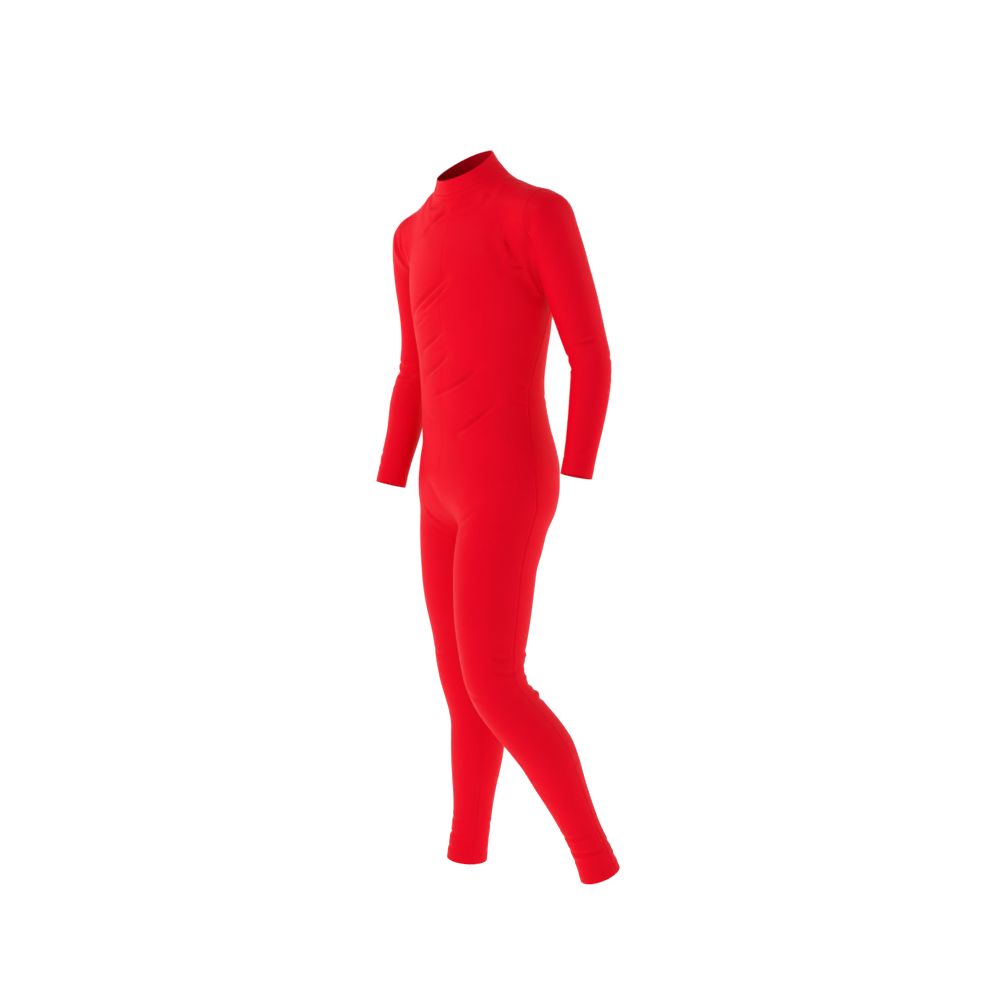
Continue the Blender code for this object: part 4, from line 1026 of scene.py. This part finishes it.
def sleeve(side):
    """One sleeve: rings from the armhole over the shoulder and down the arm to the cuff."""
    start = np.array(ARMHOLE_MIDDLE[side])
    across, ahead = TORSO_TUBE.at_height(start[2])[1:3]
    head_z = ARM[side][3].z - SLEEVE_HEAD_DROP
    heights = np.linspace(head_z, CUFF_Z[side], SLEEVE_STEPS + 1)
    arm, arm_side, arm_ahead, arm_up = ARM_TUBE[side].at_height(heights)
    share = np.arange(1, SLEEVE_HEAD_STEPS) / SLEEVE_HEAD_STEPS
    w = share[:, None]
    leave, arrive = side * across * SLEEVE_HEAD_SWING, -arm_up[0] * SLEEVE_HEAD_SWING
    head = (
        (2 * w**3 - 3 * w**2 + 1) * start
        + (w**3 - 2 * w**2 + w) * leave
        + (3 * w**2 - 2 * w**3) * arm[0]
        + (w**3 - w**2) * arrive
    )
    straight_up = np.array([[0.0, 0.0, 1.0]])
    middle = np.concatenate([head, arm])
    outer = np.concatenate([unit(mix(straight_up, side * arm_side[:1], share)), side * arm_side])
    front = np.concatenate([unit(mix(ahead[None], arm_ahead[:1], share)), arm_ahead])
    angles = np.linspace(0, 2 * np.pi, 2 * ARMHOLE_STEPS + 1)[:-1]
    towards = np.cos(angles)[None, :, None] * outer[:, None] + np.sin(angles)[None, :, None] * front[:, None]
    rings = cast(np.broadcast_to(middle[:, None], towards.shape), towards)
    return np.concatenate([armhole_ring(side)[None], rings])


SLEEVE_CUT = {1: (0.330, 0.520, 0.108), -1: (0.330, 0.540, 0.112)}
SLEEVE_ROWS = fine_positions((SLEEVE_HEAD_STEPS + SLEEVE_STEPS, SLEEVE_LINES))
BY_ARMHOLE = PANEL_ROWS[PANEL_ROWS <= ARMHOLE_STEPS]
SLEEVE_COLUMNS = np.concatenate([BY_ARMHOLE, 2 * ARMHOLE_STEPS - BY_ARMHOLE[-2:0:-1]])
UNDERARM = len(BY_ARMHOLE) - 1
SLEEVE = {}
for side, cut in SLEEVE_CUT.items():
    node = "sleeve_left" if side > 0 else "sleeve_right"
    grid = read(faced(sleeve(side)), SLEEVE_ROWS)
    surface = across(read(across(grid), SLEEVE_COLUMNS, closed=True))
    down, over = run_lengths(surface[..., :3])
    from_seam = np.abs(over - over[:, UNDERARM : UNDERARM + 1])
    lift = seam_dip(down, SEAM_DEPTH["seam"]) + seam_dip(from_seam, SEAM_DEPTH["underarm"])
    lift = lift + hem_lift(down[-1:] - down, over)
    SLEEVE[side] = sew("cloth_" + node, surface, lift, closed=True)
    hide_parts(node)


# THE COLLAR
# A mock collar: a doubled band of tricot sewn to the neckline, turned at its top edge and
# stitched there, open at the centre back for the zip.
def collar():
    """The mock collar: a band from the neckline to its top edge, open at the centre back."""
    base = neck_base()
    clear = ZIP_HALF_WIDTH / NECKLINE["radius"]
    quarter = np.linspace(clear, np.pi / 2, NECK_STEPS + 1)
    front = np.linspace(-np.pi / 2, np.pi / 2, 2 * NECK_STEPS + 1)
    angles = np.concatenate([quarter - np.pi, front[1:-1], np.pi - quarter[::-1]])
    target = neck_ring(angles, COLLAR_TOP, NECKLINE["radius"])
    axis = NECK_TUBE.at_height(target[:, 2])[0]
    level = np.stack([np.sin(angles), -np.cos(angles), np.zeros(len(angles))], axis=1)
    edge = cast(axis, level)
    rows = [mix(base, edge, share) for share in np.linspace(0, 1, COLLAR_STEPS + 1)]
    return np.stack([rows[0]] + [settle(row) for row in rows[1:-1]] + [rows[-1]])


COLLAR_ROWS = fine_positions((COLLAR_STEPS, 10))
OVER_NECK = PANEL_COLUMNS[PANEL_COLUMNS <= NECK_STEPS]
HALF_WAY, ALL_ROUND = 2 * NECK_STEPS, 4 * NECK_STEPS
QUARTERS = [ALL_ROUND - OVER_NECK, HALF_WAY + OVER_NECK, HALF_WAY - OVER_NECK, OVER_NECK]
COLLAR_COLUMNS = np.unique(np.round(np.concatenate(QUARTERS), 6))
COLLAR = faced(collar())
surface = across(read(across(read(COLLAR, COLLAR_ROWS)), COLLAR_COLUMNS))
surface[0] = read(NECK_BASE, COLLAR_COLUMNS)
down, over = run_lengths(surface[..., :3])
lift = seam_dip(down, SEAM_DEPTH["seam"]) + hem_lift(down[-1:] - down, over)
COLLAR_PIECE = sew("cloth_collar", surface, lift)
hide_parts("collar")


# THE ZIP'S TAPE AND COIL
# A fine coil zip at the centre back, from the collar's top edge to just under the waist: a woven
# tape between the two back pieces, and two rows of nylon coil that mesh along its middle.

ZIP_FOOT_SHARE = 0.8  # how much of its last row's height the zip reaches
ZIP_FOOT_NARROWING = 0.12  # width left at the foot, as a share


def zip_chain(band):
    """The closed zip: chain and tape as a strip that fills the slot at the centre back."""
    half = ZIP_HALF_WIDTH - SEAM_GAP / 2
    middle, across, ahead, _ = TORSO_TUBE.at_height(CENTRE_Z[-1][: ZIP_ROW + 2])
    low = np.stack([cast(middle + share * half * across, -ahead) for share in (-1, 0, 1)], axis=1)
    foot = mix(low[-2:-1, 1], low[-1:, 1], ZIP_FOOT_SHARE)
    low[-1] = foot + (low[-1] - low[-1:, 1]) * ZIP_FOOT_NARROWING
    left, right = band[:, -1], band[:, 0]
    edge = SEAM_GAP / 2 * unit(left - right)
    high = np.stack([right + edge, settle((left + right) / 2), left - edge], axis=1)
    return np.concatenate([high[::-1], low])


TAPE_DROP = 0.0007  # the tape lies this far under the cloth's face
COIL = {"pitch": 0.0012, "inner": -0.0004, "outer": 0.0021, "radius": 0.00034, "lean": 0.10}
COIL_ENDS = {"top": 0.003, "foot": 0.004}  # free tape above and below the coil
CHAIN = faced(zip_chain(COLLAR[..., :3]))
chain_rows = fine_positions((len(CHAIN) - 1, 8))
surface = across(read(across(read(CHAIN, chain_rows)), np.linspace(0, 2, 9)))
tape_normals = unit(surface[..., 3:])
tape_points = surface[..., :3] + (CLOTH - TAPE_DROP) * tape_normals


RIB = 0.0005  # from one woven rib to the next


def woven():
    """Woven polyester tape: fine ribs across it, duller than the knit."""
    made = new_material(
        "tape", {"Base Color": (0.66, 0.0, 0.012, 1), "Roughness": 0.75, "Specular IOR Level": 0.05}
    )
    along_tape = made.cloth.node("ShaderNodeSeparateXYZ", {}, {0: made.cloth}, output=1)
    ribs = wave(along_tape * (TURN / RIB))
    bump = ribs.node("ShaderNodeBump", {}, {"Strength": 0.3, "Distance": 0.0001, "Height": ribs})
    return feed(made, Normal=bump)


TAPE = drawn("tape", tape_points, woven(), run_lengths(tape_points), tape_normals)
thickness = TAPE.modifiers.new("thickness", "SOLIDIFY")
thickness.thickness = 0.0006
thickness.offset = -1.0


def along_line(points, spacing, start=0.0, stop=0.0):
    """Even positions along a line of points: their fractional indices."""
    at = np.concatenate([[0.0], np.cumsum(np.linalg.norm(np.diff(points, axis=0), axis=1))])
    count = int((at[-1] - start - stop) / spacing)
    wanted = start + spacing * (np.arange(count) + 0.5)
    return np.interp(wanted, at, np.arange(len(at)))


def at_index(values, index):
    """Rows of an array read between its rows."""
    low = np.clip(np.floor(index).astype(int), 0, len(values) - 2)
    share = (index - low)[:, None]
    return values[low] * (1 - share) + values[low + 1] * share


def bars(name, middles, runs, normals, half_lengths, radius, sides, material, squash=1.0):
    """Many small rounded bars as one mesh: each is a row of rings that closes in at both ends."""
    stations = np.array([-1.0, -0.92, -0.6, 0.6, 0.92, 1.0])
    swell = np.array([0.15, 0.72, 1.0, 1.0, 0.72, 0.15])
    turn = np.linspace(0, 2 * np.pi, sides, endpoint=False)
    cross = unit(np.cross(runs, normals))
    turned_over, turned_up = np.cos(turn)[None, :, None], squash * np.sin(turn)[None, :, None]
    ring = turned_over * cross[:, None] + turned_up * normals[:, None]
    points = (
        middles[:, None, None]
        + stations[None, :, None, None] * half_lengths[:, None, None, None] * runs[:, None, None]
        + radius * swell[None, :, None, None] * ring[:, None]
    )
    count, rings = points.shape[:2]
    index = np.arange(count * rings * sides).reshape(count, rings, sides)
    index = np.concatenate([index, index[:, :, :1]], axis=2)
    corners = [index[:, :-1, :-1], index[:, :-1, 1:], index[:, 1:, 1:], index[:, 1:, :-1]]
    faces = np.stack(corners, axis=-1).reshape(-1, 4).tolist()
    faces += index[:, 0, :-1].reshape(count, sides).tolist()
    faces += index[:, -1, -2::-1].reshape(count, sides).tolist()
    mesh = bpy.data.meshes.new(name)
    mesh.from_pydata(points.reshape(-1, 3).tolist(), [], faces)
    piece = shown(name, mesh, material)
    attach(piece, "garment")
    return piece


def nylon(name, colour, roughness):
    """Coloured nylon with a faint shine."""
    made = new_material(name, {"Specular IOR Level": 0.10})
    specks = {"Vector": made.place, "Scale": 900.0, "Detail": 1.0}
    uneven = made.place.node("ShaderNodeTexNoise", {}, specks)
    darker = tuple(0.85 * part for part in colour)
    return feed(made, Base_Color=mixed(uneven, darker, colour), Roughness=uneven * 0.1 + roughness)


middle_line = surface[:, 4, :3] + (CLOTH - TAPE_DROP + COIL["radius"] * 0.5) * tape_normals[:, 4]
teeth = {"middles": [], "runs": [], "normals": []}
for hand, offset in ((1, 0.0), (-1, COIL["pitch"] / 2)):
    index = along_line(middle_line, COIL["pitch"], COIL_ENDS["top"] + offset, COIL_ENDS["foot"])
    spots = at_index(middle_line, index)
    normals = unit(at_index(tape_normals[:, 4], index))
    forward = unit(at_index(np.gradient(middle_line, axis=0), index))
    sideways = hand * unit(np.cross(forward, normals))
    lean = unit(sideways + COIL["lean"] * forward)
    teeth["middles"].append(spots + (COIL["inner"] + COIL["outer"]) / 2 * sideways)
    teeth["runs"].append(lean)
    teeth["normals"].append(normals)
teeth = {key: np.concatenate(values) for key, values in teeth.items()}
half = np.full(len(teeth["runs"]), (COIL["outer"] - COIL["inner"]) / 2)
ZIP_COIL = bars(
    "coil", teeth["middles"], teeth["runs"], teeth["normals"], half, COIL["radius"], 6,
    nylon("coil", (0.74, 0.002, 0.014), 0.42),
)
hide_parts("zip_chain")


# THE SLIDER AND ITS PULL TAB
# A small red-enamelled metal slider at the top of the zip, with a plain tab hung on its pin.
def enamel():
    """Baked red enamel on metal: smooth, with a clear shine and slight waves."""
    made = new_material(
        "enamel", {"Base Color": (0.55, 0.002, 0.008, 1), "Roughness": 0.28, "Coat Weight": 0.5}
    )
    waves = {"Vector": made.place, "Scale": 420.0, "Detail": 2.0}
    uneven = made.place.node("ShaderNodeTexNoise", {}, waves)
    bump = uneven.node("ShaderNodeBump", {}, {"Strength": 0.06, "Distance": 0.0002, "Height": uneven})
    return feed(made, Normal=bump)


ENAMEL = enamel()
for node in ("zip_slider", "zip_tab"):
    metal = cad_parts[node]
    metal.data.materials.clear()
    metal.data.materials.append(ENAMEL)


# THE STITCHES
# Red thread: two needle rows round each turned hem, and one row beside each edge of the zip.
THREAD = nylon("thread", (0.74, 0.002, 0.010), 0.50)
STITCH = {"length": 0.0021, "gap": 0.0006, "radius": 0.00020, "rise": 0.00006}


def stitch_line(name, points, normals):
    """A row of stitches that lie along a line on the cloth's face."""
    index = along_line(points, STITCH["length"] + STITCH["gap"])
    spots = at_index(points, index)
    runs = unit(at_index(np.gradient(points, axis=0), index))
    up = unit(at_index(normals, index))
    half = np.full(len(runs), STITCH["length"] / 2)
    middles = spots + STITCH["rise"] * up
    piece = bars(name, middles, runs, up, half, STITCH["radius"], 4, THREAD, squash=0.8)


def ring_at(points, normals, from_edge, closed):
    """A line round a hem at one distance from the last row, and the cloth's normals along it."""
    down = run_lengths(points)[0]
    left = down[-1:] - down
    line, faces = [], []
    for k in range(points.shape[1]):
        at = np.interp(from_edge, left[::-1, k], np.arange(points.shape[0])[::-1])
        line.append(at_index(points[:, k], np.array([at]))[0])
        faces.append(at_index(normals[:, k], np.array([at]))[0])
    if closed:
        line.append(line[0])
        faces.append(faces[0])
    return np.array(line), np.array(faces)


for side, hand in ((1, "left"), (-1, "right")):
    for number, from_edge in enumerate(NEEDLE_ROWS, 1):
        line, faces = ring_at(*SLEEVE[side][1:], from_edge, True)
        stitch_line(f"cuff_stitches_{hand}_{number}", line, faces)
        front, front_faces = ring_at(*BODY[side, 1][1:], from_edge, False)
        back, back_faces = ring_at(*BODY[side, -1][1:], from_edge, False)
        line = np.concatenate([front, back[-2::-1]])
        faces = np.concatenate([front_faces, back_faces[-2::-1]])
        stitch_line(f"hem_stitches_{hand}_{number}", line, faces)
for number, from_edge in enumerate(NEEDLE_ROWS, 1):
    line, faces = ring_at(*COLLAR_PIECE[1:], from_edge, False)
    stitch_line(f"collar_stitches_{number}", line, faces)
FROM_ZIP = 0.0032  # the row beside the zip lies this far from the cloth's folded edge
beside_zip = np.count_nonzero(PANEL_ROWS <= ZIP_ROW + 0.6)
for side, hand in ((1, "left"), (-1, "right")):
    points, normals = (across(values[:beside_zip])[::-1] for values in BODY[side, -1][1:])
    line, faces = ring_at(points, normals, FROM_ZIP, False)
    stitch_line(f"zip_stitches_{hand}", line, faces)
    points, normals = (across(values)[::side] for values in COLLAR_PIECE[1:])
    line, faces = ring_at(points, normals, FROM_ZIP, False)
    stitch_line(f"zip_stitches_collar_{hand}", line, faces)


# THE STUDIO
# A plain pale floor that curves up far behind, soft light all round, a large soft lamp from the
# front on the picture's left, and two weaker ones that light the right and the left edges.
FLOOR_Z = -1.515  # the ankle hems hang just above it
FLOOR_RISE = 0.12
LEVEL_REACH = 7.0
FLOOR_EDGE = 12.0


def floor_height(x, y):
    """Level out to a circle round the middle, then rising as the square of the distance."""
    return FLOOR_Z + FLOOR_RISE * np.clip(np.hypot(x, y) - LEVEL_REACH, 0, None) ** 2


across_floor, along_floor = np.meshgrid(*[np.linspace(-FLOOR_EDGE, FLOOR_EDGE, 41)] * 2)
points = np.stack([across_floor, along_floor, floor_height(across_floor, along_floor)], axis=-1)
index = np.arange(across_floor.size).reshape(across_floor.shape)
corners = [index[:-1, :-1], index[:-1, 1:], index[1:, 1:], index[1:, :-1]]
mesh = bpy.data.meshes.new("floor")
faces = np.stack(corners, axis=-1).reshape(-1, 4)
mesh.from_pydata(points.reshape(-1, 3).tolist(), [], faces.tolist())
paper = {"Base Color": (0.90, 0.90, 0.90, 1), "Roughness": 0.9}
paper.update({"Emission Color": (1.0, 1.0, 1.0, 1), "Emission Strength": 0.50})
shown("floor", mesh, new_material("paper", paper).material)

world = bpy.data.worlds.new("studio")
world.use_nodes = True
sky = world.node_tree.nodes["Background"].inputs
sky["Color"].default_value = (1.0, 1.0, 1.0, 1)
sky["Strength"].default_value = 0.45
bpy.context.scene.world = world

RIGHT = Vector((0.643, 0.766, 0.0))
TOWARDS = Vector((0.766, -0.643, 0.0))


def lamp(name, right, towards, height, size, power, aim):
    """A square soft lamp, placed by its distances to the right of and towards the camera."""
    data = bpy.data.lights.new(name, "AREA")
    data.size = size
    data.energy = power
    made = bpy.data.objects.new(name, data)
    made.location = RIGHT * right + TOWARDS * towards + Vector((0, 0, height))
    made.rotation_euler = (Vector(aim) - made.location).to_track_quat("-Z", "Y").to_euler()
    bpy.context.scene.collection.objects.link(made)


lamp("key", -2.5, 1.1, 2.2, 0.8, 50.0, (0.0, 0.0, -0.6))
lamp("right", 2.6, -0.4, 0.5, 1.2, 20.0, (0.0, 0.0, -0.5))
lamp("back_left", -2.4, -1.8, 0.4, 1.2, 12.0, (0.0, 0.0, -0.5))

CAMERA_DISTANCE = 4.0
CAMERA_SIDE = 0.05  # to the picture's right of the garment's middle
CAMERA_Z = -0.015
CAMERA_TILT = np.radians(8.5)  # downwards
camera = bpy.data.cameras.new("camera")
camera.lens = 73.8
camera.sensor_width = 36.0
CAMERA = bpy.data.objects.new("camera", camera)
CAMERA.location = TOWARDS * CAMERA_DISTANCE + RIGHT * CAMERA_SIDE + Vector((0, 0, CAMERA_Z))
look = -TOWARDS * np.cos(CAMERA_TILT) + Vector((0, 0, -np.sin(CAMERA_TILT)))
CAMERA.rotation_euler = look.to_track_quat("-Z", "Y").to_euler()
bpy.context.scene.collection.objects.link(CAMERA)
bpy.context.scene.camera = CAMERA
bpy.context.scene.view_settings.view_transform = "Standard"
